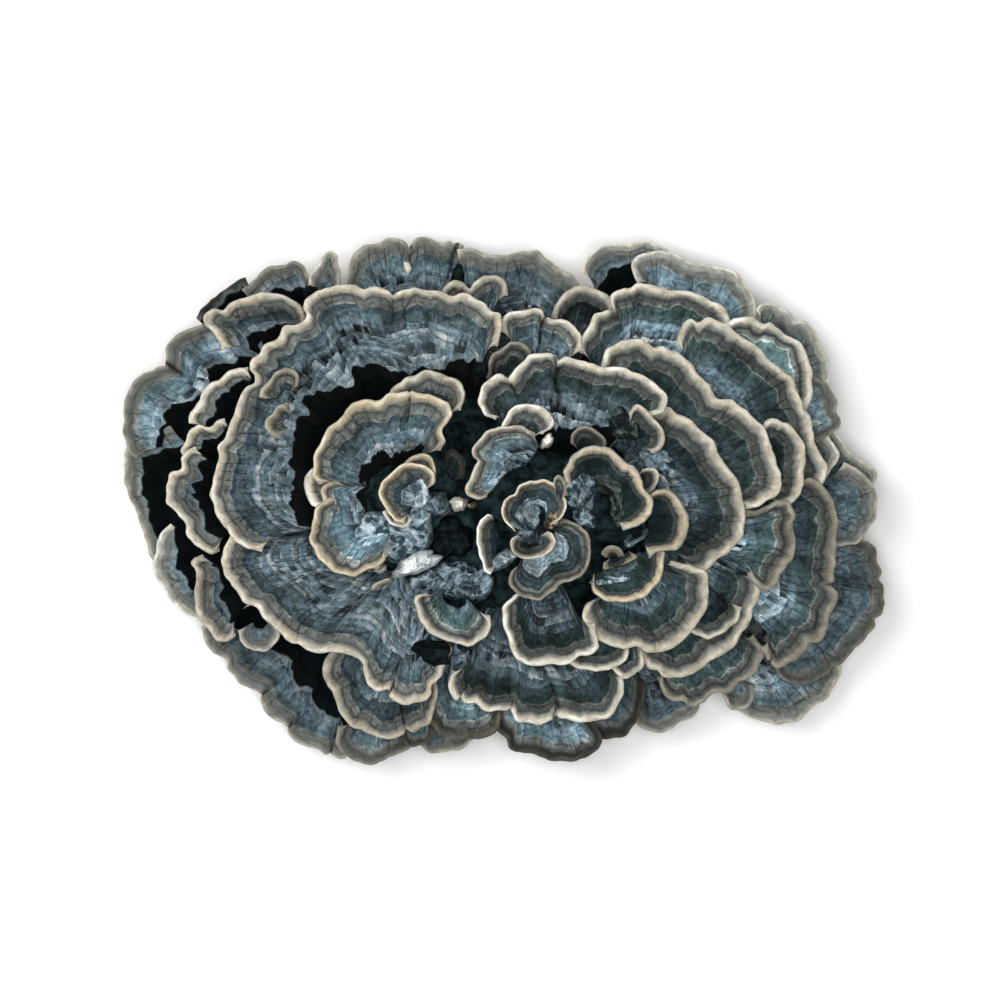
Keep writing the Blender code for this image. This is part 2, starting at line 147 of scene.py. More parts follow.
def add_piece(name, points, faces):
    """A smooth mesh in millimetres, as a piece that rides on the root body."""
    mesh = bpy.data.meshes.new(name)
    mesh.from_pydata((points * MM).tolist(), [], faces)
    mesh.shade_smooth()
    piece = bpy.data.objects.new(name, mesh)
    bpy.context.scene.collection.objects.link(piece)
    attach(piece, "root")
    return piece


def sewn_discs(top, under, around):
    """Points and faces of a closed skin: two discs of points, one over the other.

    A disc is rings of points round a middle one, which comes first. The lower disc has no edge
    ring of its own and is sewn to the upper one's.
    """
    rings = (len(top) - 1) // around
    step = np.arange(around)
    after = (step + 1) % around
    start = 1 + np.arange(rings - 1)[:, None] * around
    quads = np.dstack([start + step, start + around + step, start + around + after, start + after])
    middle = np.column_stack([0 * step, 1 + step, 1 + after])
    faces = quads.reshape(-1, 4).tolist() + middle.tolist()
    edge_start = len(top) - around
    below = [[corner + len(top) if corner < edge_start else corner for corner in face[::-1]]
             for face in faces]
    return np.vstack([top, under]), faces + below


def base_lobes(turn):
    """How far the base's outline stands in or out at each turn: one plus a few sine waves."""
    return 1 + sum(depth * np.sin(count * turn + start) for count, depth, start in BASE_LOBES)


def base_height(plan):
    """Height of the mound over places (x, y): a lobed half ellipsoid, swollen by two humps."""
    x, y = plan[..., 0], plan[..., 1]
    turn = np.arctan2(y / BASE_HALF_WIDTH, x / BASE_HALF_LENGTH)
    out = np.hypot(x / BASE_HALF_LENGTH, y / BASE_HALF_WIDTH) / base_lobes(turn)
    humps = sum(height * np.exp(-((x - at_x) / reach_x) ** 2 - ((y - at_y) / reach_y) ** 2)
                for at_x, at_y, reach_x, reach_y, height in BASE_HUMPS)
    return (BASE_HEIGHT + humps) * np.sqrt(np.maximum(1 - out ** 2, 0))


def base_mesh(around, rings):
    """The mound over a disc of rings, and the same disc flat below it, sewn along the edge."""
    turn = np.linspace(0, 2 * np.pi, around, endpoint=False)[None, :]
    out = np.sin(np.linspace(0, np.pi / 2, rings + 1)[1:])[:, None]
    x = np.r_[0, (BASE_HALF_LENGTH * base_lobes(turn) * np.cos(turn) * out).ravel()]
    y = np.r_[0, (BASE_HALF_WIDTH * base_lobes(turn) * np.sin(turn) * out).ravel()]
    rise = base_height(np.column_stack([x, y]))
    lumps = 2.2 * creases(x / BASE_CREASE + 40, y / BASE_CREASE + 40, 1) - 1.6
    rise = np.maximum(rise + lumps * np.clip(rise / 4, 0, 1), 0)
    rise[-around:] = 0
    return sewn_discs(np.column_stack([x, y, rise]),
                      np.column_stack([x, y, 0 * x])[:-around], around)


# Dead tissue: painted near black as the shade in the hollows, with a little blue-grey mould, pale
# and corky on the cut.
base_tissue, tree, shader = new_material("fibrous_base_tissue", 0.95)
place = node(tree, "TexCoord", output="Object")
height = node(tree, "SeparateXYZ", place, output="Z")
mould = node(tree, "TexNoise", place, Scale=per_metre(3.125), Detail=8.0, Roughness=0.65)
on_cut = node(tree, "MapRange", height, 0.0004, 0.002, 1.0, 0.0)
# Painted shade: the ramp runs from near black to dark blue-grey by the mould noise.
grey = node(tree, "ValToRGB", mould)
spread_colours(grey, ((0.42, "#0a1517"), (0.72, "#33474a")))
cork = node(tree, "TexNoise", place, Scale=per_metre(1.43), Detail=6.0)
cork_colour = node(tree, "MixRGB", cork, linear("#8d7a5e"), linear("#cdbb98"))
skin_colour = node(tree, "MixRGB", on_cut, grey, cork_colour)
tree.links.new(skin_colour, shader.inputs["Base Color"])
grain = node(tree, "Bump", Strength=0.6, Distance=0.6 * MM, Height=mould)
tree.links.new(grain, shader.inputs["Normal"])

base_points, base_faces = base_mesh(around=220, rings=60)
fused_base = add_piece("fused_base_tissue", base_points, base_faces)
fused_base.data.materials.append(base_tissue)
surfaces["fused_base"] = base_height
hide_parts("fused_base")


# Outer ring, left: the lowest brackets, thin and weathered. Each is one sheet of leathery flesh
# that fans out from the base, with a rolled cream margin, velvet zones above and pores below.

CAP_THICKNESS = 1.6
ROOT_WIDTH = 0.3    # width of a one-point root as a share of the rim
COLUMN_STEP = 0.65  # mesh width along the rim
FAR_STEP = 1.0      # mesh width inwards, beyond the margin
END_COLUMNS = np.array([0, 0.1, 0.3, 0.65, 1.1, 1.6, 2.2])
NEAR_ROWS = np.array([0, 0.06, 0.2, 0.45, 0.8, 1.2, 1.6, 1.95, 2.25, 2.55, 2.9, 3.3, 3.8, 4.4, 5.1,
                      5.9, 6.7])
# Height of the skin over the middle of the sheet, by distance in from the margin: the rolled
# lip and the groove behind it. The taupe zone follows, and ends in a small step down.
LIP_AT = (0, 0.06, 0.2, 0.45, 0.8, 1.2, 1.6, 1.95, 2.25, 2.55, 2.85, 3.2)
LIP_RISE = (0, 0.42, 0.76, 1.04, 1.22, 1.28, 1.22, 1.02, 0.66, 0.36, 0.38, 0.64)
STEP_RISE = (0.76, 0.84, 0.62, 0.7, 0.8)  # just before, at and after the taupe zone's end, then on
UNDER_AT = (0, 0.08, 0.3, 0.9, 2.0, 200)
UNDER_DROP = (0, 0.35, 0.6, 0.78, 0.8, 0.8)
ZONED_LIP = 2.3     # width of lip that LIP_AT and the zones of colour are given for
RING_STEP = 2.7     # growth rings in the relief
NORMAL_REACH = 3.5  # a column leaves the rim square to its run, averaged over this length
BROAD_REACH = 9.0   # and runs on inwards square to its broad curve, averaged over this at most
TURN_REACH = 4.0    # it turns from the one to the other over this length
LOBE_REACH = 5.0    # zones further in follow the rim averaged over this length
SIDE_LIP = 2.2      # the lip runs on round each end of the rim and thins over this length
WAVE = 0.7          # how far a rim waves up and down
HOLLOW_DROP = 6.0   # how far the sheet dips past the edge of a hollow
NO_HOLLOW = -50.0   # distance past the edge of a hollow where there is none
SKIN_FIELDS = ("margin_mm", "along_mm", "lobe_mm", "past_edge", "crack", "tone", "chalk", "gold")


def hermite(t, span, start, end, leaving, arriving):
    """Cubic curve from start to end as t goes from 0 to 1, with these directions at its ends."""
    return ((2 * t**3 - 3 * t**2 + 1) * start + (t**3 - 2 * t**2 + t) * span * leaving
            + (3 * t**2 - 2 * t**3) * end + (t**3 - t**2) * span * arriving)


def smooth_row(points, shares):
    """Points at shares of the length of a smooth curve through the points."""
    points = np.array(points, float)
    along = np.r_[0.0, np.cumsum(np.linalg.norm(np.diff(points, axis=0), axis=1))]
    tangents = np.gradient(points, along, axis=0)
    fine = np.linspace(0.0, along[-1], 24 * len(points))
    piece = np.clip(np.searchsorted(along, fine, side="right") - 1, 0, len(points) - 2)
    span = (along[piece + 1] - along[piece])[:, None]
    t = (fine[:, None] - along[piece][:, None]) / span
    curve = hermite(t, span, points[piece], points[piece + 1], tangents[piece], tangents[piece + 1])
    walked = np.r_[0.0, np.cumsum(np.linalg.norm(np.diff(curve, axis=0), axis=1))]
    return np.column_stack([np.interp(shares * walked[-1], walked, curve[:, k]) for k in (0, 1)])


def thin_plate(spots, heights, slack=0.02):
    """Smooth surface over scattered spots: a tilted plane plus r^2 log r round each spot."""
    spots = spots / 10

    def bumps(at):
        square = ((at[:, None] - spots[None]) ** 2).sum(-1)
        return 0.5 * square * np.log(square + 1e-12)

    count = len(spots)
    plane = np.column_stack([np.ones(count), spots])
    system = np.block([[bumps(spots) + slack * np.eye(count), plane], [plane.T, np.zeros((3, 3))]])
    weights = np.linalg.solve(system, np.r_[heights, 0, 0, 0])

    def surface(plan):
        at = plan.reshape(-1, 2) / 10
        z = bumps(at) @ weights[:count] + weights[count] + at @ weights[count + 1:]
        return z.reshape(plan.shape[:-1])

    return surface


def cad_surface(name):
    """Thin plate through the top corners of a CAD cap, in millimetres."""
    mesh = frame["nodes"][name].data
    corners = np.empty(len(mesh.vertices) * 3)
    mesh.vertices.foreach_get("co", corners)
    corners = corners.reshape(-1, 3) / MM
    spots, which = np.unique(np.round(corners[:, :2], 1), axis=0, return_inverse=True)
    tops = np.full(len(spots), -1e9)
    np.maximum.at(tops, which.ravel(), corners[:, 2])
    return thin_plate(spots, tops)


def ease(value, start, end):
    """From 0 at start to 1 at end, level at both."""
    t = np.clip((value - start) / (end - start), 0, 1)
    return t * t * (3 - 2 * t)


def unit(rows):
    """Vectors turned to length one."""
    return rows / np.linalg.norm(rows, axis=1)[:, None]


def averaged(rows, along, reach):
    """Each row as the mean of all rows, weighted by exp(-(distance along the rim / reach)^2)."""
    weights = np.exp(-((along[:, None] - along[None]) / reach) ** 2) * np.gradient(along)
    return weights @ rows / weights.sum(1)[:, None]


def pillow_faces(rows, columns, flip):
    """Faces of two sheets of the same grid that share their whole outline, the lower one last."""
    top = np.arange(rows * columns).reshape(rows, columns)
    below = top.copy()
    below[1:-1, 1:-1] = rows * columns + np.arange((rows - 2) * (columns - 2)).reshape(rows - 2, -1)

    def quads(index):
        corners = (index[:-1, :-1], index[1:, :-1], index[1:, 1:], index[:-1, 1:])
        return np.dstack(corners).reshape(-1, 4)

    upper, lower = quads(top), quads(below)[:, ::-1]
    if flip:
        upper, lower = upper[:, ::-1], lower[:, ::-1]
    return np.vstack([upper, lower]).tolist()


def rim_shares(total):
    """Places of the columns as shares of the rim: COLUMN_STEP apart, and closer near its ends."""
    close = END_COLUMNS * min(1, total / 9)
    steps = max(4, round((total - 2 * close[-1]) / COLUMN_STEP))
    between = np.linspace(close[-1], total - close[-1], steps)
    return np.r_[close[:-1], between, total - close[-2::-1]] / total


def column_shares(length):
    """Places of the rows as shares of each column: those near the margin, then even steps."""
    fit = np.minimum(1.0, 0.75 * length / NEAR_ROWS[-1])
    near = NEAR_ROWS[None, :] * fit[:, None] / length[:, None]
    far_rows = int(np.clip((length.max() - NEAR_ROWS[-1]) / FAR_STEP, 5, 34))
    far = near[:, -1:] + (1 - near[:, -1:]) * np.linspace(0, 1, far_rows + 1)[None, 1:]
    return np.hstack([near, far])


def skin_rise(from_lip, margin, run, band_end, wrinkle, seed):
    """Height of the skin over the sheet's middle: the lip's profile, rings and radial folds.

    The profile is read by distance in from the lip. Low sine rings and creases join it further
    in, and fine noise lies over all of it.
    """
    step_at = (band_end - 0.5, band_end, band_end + 0.35, 8, 400)
    rise = np.interp(from_lip, np.r_[LIP_AT, step_at], np.r_[LIP_RISE, STEP_RISE])
    rise = rise + 0.09 * lattice_noise(run / 1.4, margin / 1.4, seed + 7) * ease(margin, 0.1, 0.8)
    beyond = ease(margin, 4.5, 9)
    drift = margin + 1.4 * lattice_noise(run / 9, margin / 9, seed + 8)
    rise = rise + 0.12 * beyond * np.sin(2 * np.pi * drift / RING_STEP)
    folds = creases(run / 4.5, margin / 7, seed + 9) - 0.4
    rough = lattice_noise(run / 1.3, margin / 1.8, seed + 11)
    return rise + wrinkle * (3.0 * ease(margin, 6, 16) * folds + 0.5 * beyond * rough)


def bracket(name, rim, root, skin, on="fused_base", up=3.0, flare=0.6, lip=ZONED_LIP, wrinkle=0.2,
            hollow=(), cracks=(), tone=1.0, chalk=1.0, gold=0.1):
    """One bracket between its rim and root rows, seen from above, as a closed sheet.

    A column leaves the rim square to it and curves to the root: a cubic Hermite curve. A bracket
    named for a CAD cap takes its heights from that cap and replaces it. Another one rises by up
    over what it stands on. Beyond the hollow distances, spread evenly along the rim, the sheet
    dips down, and its skin there is painted black as the shade of the hollow. A crack is a place on
    the rim, how deep it runs in and how wide it gapes; its open gap is painted black as the shade
    inside it. The tone lightens or darkens the zones, partly as the cap's own tone and partly as
    painted light that makes up for the light and shade the cap gets; chalk lightens or darkens the
    lip, and gold tints the lip.
    """
    seed = 10 * len(surfaces)
    total = np.linalg.norm(np.diff(np.array(rim, float), axis=0), axis=1).sum()
    edge = smooth_row(rim, rim_shares(total))
    along = np.r_[0.0, np.cumsum(np.linalg.norm(np.diff(edge, axis=0), axis=1))]
    shares = along / along[-1]
    run = np.gradient(edge, along, axis=0)
    square = np.column_stack([-run[:, 1], run[:, 0]])
    centre = np.mean(np.array(root, float), axis=0)
    turn = np.sign(((centre - edge) * square).sum())
    broad_reach = max(NORMAL_REACH, min(BROAD_REACH, total / 12))
    broad = unit(averaged(turn * square, along, broad_reach))
    inward = unit(averaged(turn * square, along, NORMAL_REACH))

    # The rim crinkles, and is notched at a crack.
    crinkle = 0.36 * lattice_noise(along / 2.6, 0 * along, seed + 1)
    crinkle = crinkle + 0.12 * lattice_noise(along / 1.2, 0 * along, seed + 10)
    splits = []
    for at_x, at_y, deep, wide in cracks:
        away = along - along[np.argmin(np.hypot(edge[:, 0] - at_x, edge[:, 1] - at_y))]
        splits.append((away, deep, wide))
        crinkle = crinkle + 0.9 * wide * np.exp(-(away / (0.6 * wide)) ** 2)
    edge = edge + inward * crinkle[:, None]

    # Columns and their rows. The margin is the distance in from the rim or from a side, whichever
    # is less, by a rounded minimum.
    inner = centre + ROOT_WIDTH * (edge - centre) if len(root) == 1 else smooth_row(root, shares)
    length = np.linalg.norm(inner - edge, axis=1)
    t = column_shares(length)
    depth = t * length[:, None]
    plan = hermite(t[:, :, None], length[:, None, None], edge[:, None], inner[:, None],
                   broad[:, None], ((inner - edge) / length[:, None])[:, None])
    lead = depth * np.exp(-(depth / TURN_REACH) ** 2)
    plan = plan + lead[:, :, None] * (inward - broad)[:, None]
    ends = np.minimum(along, along[-1] - along)
    lobe = ((averaged(edge, along, LOBE_REACH) - edge) * broad).sum(1) * ease(ends, 0, 7)
    row_length = np.linalg.norm(np.diff(plan, axis=0), axis=2).sum(0) / along[-1]
    side = ends[:, None] * row_length * (1 + (depth / SIDE_LIP) ** 2)
    side = side + 3.4 * ease(depth, 1.2, 5.0)
    margin = np.maximum(0.5 * (depth + side - np.sqrt((depth - side) ** 2 + 0.3)), 0)
    between_ends = np.ones_like(t)
    between_ends[[0, -1]] = 0

    # Height of the sheet's middle, with the waves of the rim and the dip into a hollow.
    run_mm = along[:, None] + 0 * t
    replaced = name in frame["nodes"]
    if replaced:
        surfaces[name] = cad_surface(name)
        middle = surfaces[name](plan) - CAP_THICKNESS / 2
    else:
        middle = surfaces[on](plan) + 0.6 + up * (1 - t) ** flare
    swell = lattice_noise(run_mm / 8, 0 * t, seed + 2)
    swell = swell + 0.4 * lattice_noise(run_mm / 3.2, 0 * t, seed + 3)
    middle = middle + WAVE * swell * (1 - t) ** 1.5
    # past_edge also tells the skin where to paint the black shade of a hollow.
    past_edge = np.full_like(t, NO_HOLLOW)
    if hollow:
        limit = np.interp(shares, np.linspace(0, 1, len(hollow)), hollow)
        limit = limit + 0.7 * lattice_noise(along / 3.5, 0 * along, seed + 4)
        limit = limit + 0.35 * lattice_noise(along / 1.2, 0 * along, seed + 5)
        past_edge = depth - limit[:, None]
        middle = middle - HOLLOW_DROP * ease(past_edge, -0.4, 5.0)

    # The lip is wider and narrower by turns, and a crack opens from it inwards.
    uneven = 0.2 * lattice_noise(run_mm / 9, 0 * t, seed + 6)
    uneven = uneven + 0.13 * lattice_noise(run_mm / 2.8, 0 * t, seed + 13)
    from_lip = margin / lip * ZONED_LIP
    near_lip = np.minimum(from_lip, 3.0)
    from_lip = from_lip + near_lip * (1 / (1 + uneven) - 1) * (1 - ease(from_lip, 3, 9))
    rise = skin_rise(from_lip, margin, run_mm, skin["band_end"], wrinkle, seed)
    # The gap opens the crack, and as the crack attribute paints it black as the shade inside.
    gap = np.zeros_like(t)
    for away, deep, wide in splits:
        bend = 0.8 * wide * lattice_noise(depth / 3, 0 * depth, seed + 12)
        width = 0.55 * wide * np.clip(1 - depth / deep, 0, 1) ** 0.6 + 1e-3
        gap = np.maximum(gap, np.exp(-((away[:, None] - bend) / width) ** 2) * (depth < deep))
    opened = gap * ease(margin, 0, 0.5)
    closed = np.clip((1 - t) / 0.06, 0, 1)
    top = middle + closed * (rise * between_ends * (margin > 0) - 1.5 * opened)
    under = middle - closed * (np.interp(from_lip, UNDER_AT, UNDER_DROP) + 1.2 * opened)

    inside = (slice(1, -1), slice(1, -1))
    upper = np.dstack([plan, np.maximum(top, 0.5)])
    lower = np.dstack([plan, np.clip(under, 0.1, np.maximum(top, 0.5) - 0.3)])[inside]
    points = np.vstack([upper.reshape(-1, 3), lower.reshape(-1, 3)])
    title = "cap_" + name.replace("cap_", "") if replaced else name
    piece = add_piece(title, points, pillow_faces(*t.shape, flip=turn > 0))
    fields = (from_lip, run_mm + 3.7 * seed, lobe[:, None] * ease(margin, 4, 11), past_edge, gap,
              tone + 0 * t, chalk + 0 * t, gold + 0 * t)
    for key, values in zip(SKIN_FIELDS, fields):
        both = np.r_[values.ravel(), values[inside].ravel()].astype(np.float32)
        piece.data.attributes.new(key, "FLOAT", "POINT").data.foreach_set("value", both)
    piece.data.materials.append(skin)
    piece.data.materials.append(pores)
    below = np.broadcast_to(np.arange(t.shape[1] - 1) > 4, (t.shape[0] - 1, t.shape[1] - 1))
    finish = np.r_[np.zeros(below.size, np.int32), below.ravel().astype(np.int32)]
    piece.data.polygons.foreach_set("material_index", finish)
    if replaced:
        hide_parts(name)
    else:
        surfaces[name] = thin_plate(plan[::6, ::3].reshape(-1, 2), top[::6, ::3].ravel(), 0.05)
    return piece


# Pore surface: cream flesh pricked with 4 to 5 round pores a millimetre, drawn at about
# 1.5 a millimetre so that they show.
pores, tree, shader = new_material("pored_underside", 0.9)
place = node(tree, "TexCoord", output="Object")
holes = node(tree, "TexVoronoi", place, Scale=per_metre(0.667))
patches = node(tree, "TexNoise", place, Scale=per_metre(11.1), Detail=4.0)
flesh = node(tree, "MixRGB", patches, linear("#a99a7d"), linear("#cfc4aa"))
# Painted shade: each pore darker toward its middle, as the shade down in the hole.
hole_share = node(tree, "MapRange", holes, 0.15, 0.5, 0.5, 1.0)
flesh = node(tree, "MixRGB", 1.0, flesh, hole_share, blend_type="MULTIPLY")
tree.links.new(flesh, shader.inputs["Base Color"])
dent = node(tree, "Bump", Strength=0.7, Distance=0.3 * MM, Height=holes)
tree.links.new(dent, shader.inputs["Normal"])


def zoned_skin(name, slot, band_end, zones, pale="#9ba7ac", mottle=0.95, step=0.8, folds=0.7,
               bleach=0.95):
    """Velvet skin with zones of colour at given distances in from the margin, in millimetres.

    The distance is shifted block by block, as the skin is split in radial blocks, and by noise, so
    that zones step and wander. Growth rings of uneven tone lie over them, each dark behind its edge
    and paler up to the next, partly as zoning and partly as painted shade of a step. Soft radial
    folds are painted lighter and darker as light and shade, and pale lines on fold crests, on ring
    edges and at the brink of a hollow are painted highlights. All is painted black in open cracks,
    splits and nicks and past the edge of a hollow, as painted shade. Band_end is where the taupe
    zone ends, pale the colour of the painted highlights, mottle how uneven the rings are, step how
    far the blocks are shifted, folds how plain the pale folds are, and bleach how grey the palest
    zones.
    """
    material, tree, shader = new_material(name, 0.85)
    material["slot"] = slot
    material["band_end"] = band_end

    def tinted(colour, tint, share):
        """The colour times a tint, as far as the share goes."""
        tint = node(tree, "MixRGB", share, (1, 1, 1, 1), tint)
        return node(tree, "MixRGB", 1.0, colour, tint, blend_type="MULTIPLY")

    def ring_noise(run, rings):
        """Noise that is one value across a ring, changes along it, and is new on the next."""
        ring = node(tree, "Math MULTIPLY", node(tree, "Math FLOOR", rings), 5.3)
        spot = node(tree, "CombineXYZ", run, ring)
        return node(tree, "TexNoise", spot, Scale=1.0, Detail=3.0, Roughness=0.7)

    margin, along, lobe, past_edge, crack, tone, chalk, gold = (
        node(tree, "Attribute", attribute_name=key, output="Fac") for key in SKIN_FIELDS)
    place = node(tree, "TexCoord", output="Object")
    past_groove = node(tree, "MapRange", margin, 2.7, 3.6)
    far_in = node(tree, "MapRange", margin, 5.0, 11.0)
    on_lip = node(tree, "MapRange", margin, 2.4, 2.1)

    # The skin laid flat: millimetres along the rim and in from it, swayed by 1 mm or so.
    flat = node(tree, "CombineXYZ", along, margin)
    sway = node(tree, "TexNoise", flat, Scale=0.35, Detail=2.0, Roughness=0.35, output="Color")
    spot = node(tree, "VectorMath MULTIPLY_ADD", sway, (1.4, 1.4, 0), flat)
    slow = node(tree, "TexNoise", flat, Scale=0.13, Detail=2.0)   # patches of 8 mm
    quick = node(tree, "TexNoise", flat, Scale=0.7, Detail=2.0)   # and of 1.5 mm

    # Radial blocks about 3 mm wide and 12 mm long, each with its own shift in or out.
    block_spot = node(tree, "Mapping", spot, Scale=(0.33, 0.08, 1.0))
    cells = node(tree, "TexVoronoi", block_spot, voronoi_dimensions="2D", Scale=1.0, output="Color")
    block = node(tree, "SeparateXYZ", cells)
    shift = node(tree, "Math MULTIPLY_ADD", block, step, -0.5 * step)
    shift = node(tree, "Math MULTIPLY", shift, node(tree, "MapRange", margin, 2.7, 6.0, 0.4, 1.0))
    drift = node(tree, "TexNoise", place, Scale=per_metre(10), Detail=1.0)
    wander = node(tree, "Math MULTIPLY", node(tree, "Math MULTIPLY_ADD", drift, 6.0, -3.0), far_in)
    wander = node(tree, "Math SUBTRACT", wander, lobe)
    shiver = node(tree, "Math MULTIPLY_ADD", quick, 0.9, -0.45)
    warped = node(tree, "Math ADD", node(tree, "Math ADD", margin, shift),
                  node(tree, "Math ADD", wander, shiver))
    deepest = zones[-1][0]
    colour = node(tree, "ValToRGB", node(tree, "Math DIVIDE", warped, deepest))
    spread_colours(colour, [(at / deepest, hex_colour) for at, hex_colour in zones])

    # The lip is uneven along its run: chalky, fawn or golden by turns, in patches of 3 by 1 mm.
    uneven = node(tree, "Mapping", flat, Scale=(0.35, 0.9, 1.0))
    uneven = node(tree, "TexNoise", uneven, Scale=1.0, Detail=4.0)
    colour = tinted(colour, node(tree, "MapRange", uneven, 0.3, 0.65, 0.6, 1.12), on_lip)
    golden = node(tree, "MapRange", node(tree, "Math ADD", slow, gold), 0.35, 1.05)
    golden = node(tree, "Math MULTIPLY", golden, on_lip)
    colour = tinted(colour, linear("#ffefd6"), golden)
    colour = tinted(colour, chalk, node(tree, "MapRange", margin, 3.2, 1.8))

    # Growth rings: every 2 mm the velvet starts dark behind an edge and pales up to the next, partly
    # as zoning and partly as painted shade of a step. Each ring has a tone of its own, which changes
    # along it and from block to block. Finer rings lie between, 0.7 mm apart, and soft folds about
    # 3 mm wide run inwards across them, painted lighter and darker by turns as light and shade.
    rings = node(tree, "Math DIVIDE", warped, 2.0)
    steps = node(tree, "Math FRACT", rings)
    run = node(tree, "Math MULTIPLY_ADD", block, 1.6, node(tree, "Math MULTIPLY", along, 0.1))
    ring_tone = ring_noise(run, rings)
    fine = node(tree, "Math DIVIDE", warped, 0.7)
    line_tone = ring_noise(node(tree, "Math MULTIPLY", run, 2.5), fine)
    # Soft radial folds: their lighter and darker bands are painted light and shade.
    radial = node(tree, "Mapping", spot, Scale=(0.3, 0.06, 1.0))
    radial = node(tree, "TexNoise", radial, Detail=2.0, Scale=1.0)
    clouds = node(tree, "TexNoise", place, Scale=per_metre(8.33), Detail=3.0)
    grain = node(tree, "TexNoise", place, Scale=per_metre(1.11), Detail=3.0)
    for pattern, start, end, low, high, share in (
            (steps, 0.0, 1.0, 1.4, 0.6, far_in),
            (ring_tone, 0.36, 0.64, 1 - mottle, 1 + mottle, far_in),
            (line_tone, 0.36, 0.64, 1 - 0.5 * mottle, 1 + 0.5 * mottle, past_groove),
            (radial, 0.35, 0.65, 0.75, 1.25, past_groove),
            (clouds, 0.35, 0.65, 0.6, 1.4, past_groove),
            (grain, 0.35, 0.65, 0.8, 1.2, past_groove)):
        tone_here = node(tree, "MapRange", pattern, start, end, low, high)
        colour = tinted(colour, tone_here, share)
    warm = node(tree, "Mapping", spot, Scale=(0.1, 0.45, 1.0))
    warm = node(tree, "TexNoise", warm, Detail=2.0, Scale=1.0)
    warm = node(tree, "MapRange", warm, 0.52, 0.66, 0.0, 0.8)
    colour = tinted(colour, linear("#ffe6c8"), node(tree, "Math MULTIPLY", warm, far_in))

    # The palest velvet is bleached grey, and the chalkiest parts of the lip nearly white.
    light = node(tree, "RGBToBW", colour)
    bleached = node(tree, "MapRange", light, 0.2, 0.5, 0.0, bleach)
    bleached = node(tree, "Math MULTIPLY", bleached, past_groove)
    chalky = node(tree, "MapRange", light, 0.55, 0.85, 0.05, 0.65)
    bleached = node(tree, "Math MULTIPLY_ADD", chalky, on_lip, bleached)
    colour = node(tree, "MixRGB", bleached, colour, light)
    # Tone: partly the cap's own tone, partly painted light that makes up for the light and shade the
    # cap gets.
    tone_share = node(tree, "MapRange", margin, band_end - 0.4, band_end + 0.4, 0.3, 1.0)
    colour = tinted(colour, tone, node(tree, "Math MULTIPLY", tone_share, past_groove))

    # Painted highlights: pale folds that run inwards, pale edges on some of the rings, and a pale
    # edge at the brink of a hollow.
    ridge = node(tree, "Mapping", spot, Scale=(0.3, 0.05, 1.0))
    ridge = node(tree, "TexNoise", ridge, Scale=1.0, Detail=1.0)
    ridge = node(tree, "Math ABSOLUTE", node(tree, "Math SUBTRACT", ridge, 0.5))
    ridge = node(tree, "MapRange", ridge, 0.0, 0.016, 1.0, 0.0)
    step_edge = node(tree, "Math MULTIPLY", node(tree, "MapRange", steps, 0.16, 0.0),
                     node(tree, "MapRange", ring_tone, 0.5, 0.6))
    crease = node(tree, "Math MAXIMUM", node(tree, "Math MULTIPLY", ridge, quick),
                  node(tree, "Math MULTIPLY", step_edge, 0.8))
    crease = node(tree, "Math MULTIPLY", crease, node(tree, "MapRange", margin, 5.5, 9.0))
    crease = node(tree, "Math MULTIPLY", crease, folds)
    colour = node(tree, "MixRGB", crease, colour, linear(pale))
    brink_highlight = node(tree, "MapRange", past_edge, -1.4, -0.3, 0.0, 0.5)
    brink_highlight = node(tree, "Math MULTIPLY", brink_highlight, quick)
    colour = node(tree, "MixRGB", brink_highlight, colour, linear(pale))

    # Fine splits between blocks, faint on the lip and clear in the taupe zone, and dark nicks:
    # painted shade, as is the black of open cracks and of the skin past the edge of a hollow.
    seams = node(tree, "TexVoronoi", block_spot, feature="DISTANCE_TO_EDGE", voronoi_dimensions="2D",
                 Scale=1.0)
    split = node(tree, "Math MULTIPLY", node(tree, "MapRange", seams, 0.0, 0.05, 0.6, 0.0),
                 node(tree, "MapRange", slow, 0.46, 0.54))
    split_zone = node(tree, "Math MULTIPLY", node(tree, "MapRange", margin, 1.2, 3.2, 0.25, 1.0),
                      node(tree, "MapRange", margin, 12.0, 7.0))
    split = node(tree, "Math MULTIPLY", split, split_zone)
    nicks = node(tree, "Mapping", spot, Scale=(1.3, 0.45, 1.0))
    nicks = node(tree, "TexNoise", nicks, Scale=1.0, Detail=1.0)
    nicks = node(tree, "MapRange", nicks, 0.7, 0.74, 0.0, 0.7)
    nicks = node(tree, "Math MULTIPLY", nicks, far_in)
    split = node(tree, "Math MAXIMUM", node(tree, "Math MAXIMUM", split, nicks), crack)
    # Painted shade: black in splits, nicks and open cracks, and past the edge of a hollow.
    dark = node(tree, "Math MAXIMUM", split, node(tree, "MapRange", past_edge, -0.15, 0.35))
    colour = node(tree, "MixRGB", dark, colour, linear("#030a0d"))
    tree.links.new(colour, shader.inputs["Base Color"])

